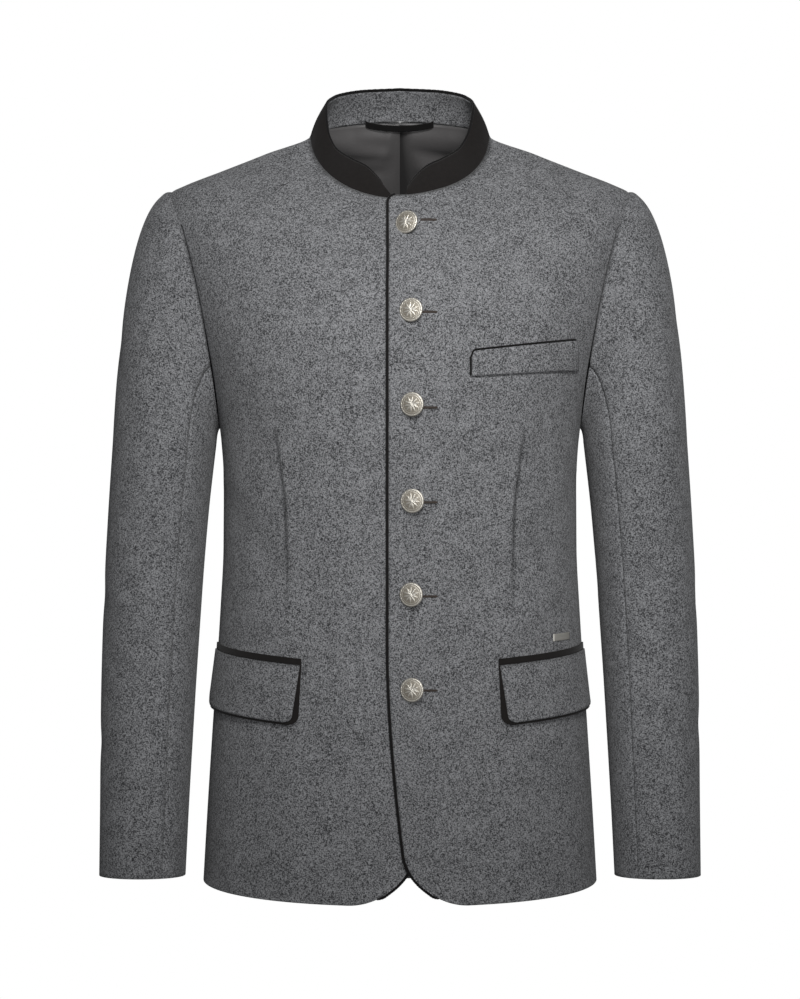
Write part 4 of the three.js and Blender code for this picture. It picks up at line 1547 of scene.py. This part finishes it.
class JACKET_OT_studio(JacketOperator, bpy.types.Operator):
    """Pale floor, soft lights and the camera"""

    bl_idname = "jacket.studio"
    bl_label = "Studio"

    def make(self):
        scene = bpy.context.scene
        mesh = bpy.data.meshes.new("floor")
        half, low = 2.4, -1.5
        corners = [(-half, -half, low), (half, -half, low), (half, half, low), (-half, half, low)]
        mesh.from_pydata(corners, [], [(0, 1, 2, 3)])
        material, tree, shader, place = surface("Floor", 0.9)
        shade = mix_colour(tree, noise(tree, place, 3), (0.80, 0.80, 0.80), (0.84, 0.84, 0.84))
        tree.links.new(shade, shader.inputs["Base Color"])
        mesh.materials.append(material)
        floor = bpy.data.objects.new("floor", mesh)
        scene.collection.objects.link(floor)
        world = bpy.data.worlds.new("Studio")
        world.use_nodes = True
        nodes, links = world.node_tree.nodes, world.node_tree.links
        nodes.clear()
        seen = nodes.new("ShaderNodeBackground")
        seen.inputs["Strength"].default_value = 1.0
        seen.inputs["Color"].default_value = (1, 1, 1, 1)
        glow = nodes.new("ShaderNodeBackground")
        glow.inputs["Strength"].default_value = 0.13
        glow.inputs["Color"].default_value = (0.97, 0.985, 1.0, 1)
        path = nodes.new("ShaderNodeLightPath")
        blend = nodes.new("ShaderNodeMixShader")
        out = nodes.new("ShaderNodeOutputWorld")
        links.new(path.outputs["Is Camera Ray"], blend.inputs[0])
        links.new(glow.outputs[0], blend.inputs[1])
        links.new(seen.outputs[0], blend.inputs[2])
        links.new(blend.outputs[0], out.inputs[0])
        scene.world = world
        lamps = (
            ("key", (0.12, -1.65, 0.72), (0.03, 0, -0.20), 0.6, 1.75, 40),
            ("fill", (0.30, -2.4, -0.45), (0.01, 0, -0.48), 0.9, 1.25, 40),
        )
        for name, where, aim, size, power, beam in lamps:
            lamp = bpy.data.lights.new(name, "AREA")
            lamp.shape = "SQUARE"
            lamp.size = size
            lamp.energy = power
            lamp.spread = math.radians(beam)
            thing = bpy.data.objects.new(name, lamp)
            thing.location = where
            thing.rotation_euler = (Vector(aim) - Vector(where)).to_track_quat("-Z", "Y").to_euler()
            scene.collection.objects.link(thing)
        camera = bpy.data.cameras.new("camera")
        camera.lens = 148.6
        camera.sensor_width = 36
        camera.sensor_fit = "AUTO"
        camera.clip_end = 50
        thing = bpy.data.objects.new("camera", camera)
        thing.location = (0, -4.0, -0.356)
        thing.rotation_euler = (math.pi / 2, 0, 0)
        scene.collection.objects.link(thing)
        scene.camera = thing
        scene.view_settings.view_transform = "Standard"


OPERATORS = (
    JACKET_OT_fronts,
    JACKET_OT_backs,
    JACKET_OT_sleeves,
    JACKET_OT_collar,
    JACKET_OT_cords,
    JACKET_OT_pockets,
    JACKET_OT_welt,
    JACKET_OT_buttons,
    JACKET_OT_buttonholes,
    JACKET_OT_tag,
    JACKET_OT_lining,
    JACKET_OT_hanger,
    JACKET_OT_studio,
)


class JACKET_PT_panel(bpy.types.Panel):
    """Sizes, colours and pieces of the jacket"""

    bl_idname = "JACKET_PT_panel"
    bl_label = "Loden jacket"
    bl_space_type = "VIEW_3D"
    bl_region_type = "UI"
    bl_category = "Jacket"

    def draw(self, context):
        for group in (context.scene.jacket_sizes, context.scene.jacket_colours):
            for name in group.__annotations__:
                self.layout.prop(group, name)
        for operator in OPERATORS:
            self.layout.operator(operator.bl_idname)


CLASSES = (JacketSizes, JacketColours, *OPERATORS, JACKET_PT_panel)


def register():
    """Registers the classes and the settings."""
    for cls in CLASSES:
        bpy.utils.register_class(cls)
    bpy.types.Scene.jacket_sizes = bpy.props.PointerProperty(type=JacketSizes)
    bpy.types.Scene.jacket_colours = bpy.props.PointerProperty(type=JacketColours)


def unregister():
    """Removes the settings and the classes."""
    del bpy.types.Scene.jacket_sizes
    del bpy.types.Scene.jacket_colours
    for cls in reversed(CLASSES):
        bpy.utils.unregister_class(cls)


def main():
    register()
    for operator in OPERATORS:
        group, name = operator.bl_idname.split(".")
        getattr(getattr(bpy.ops, group), name)()


if __name__ == "__main__":
    main()
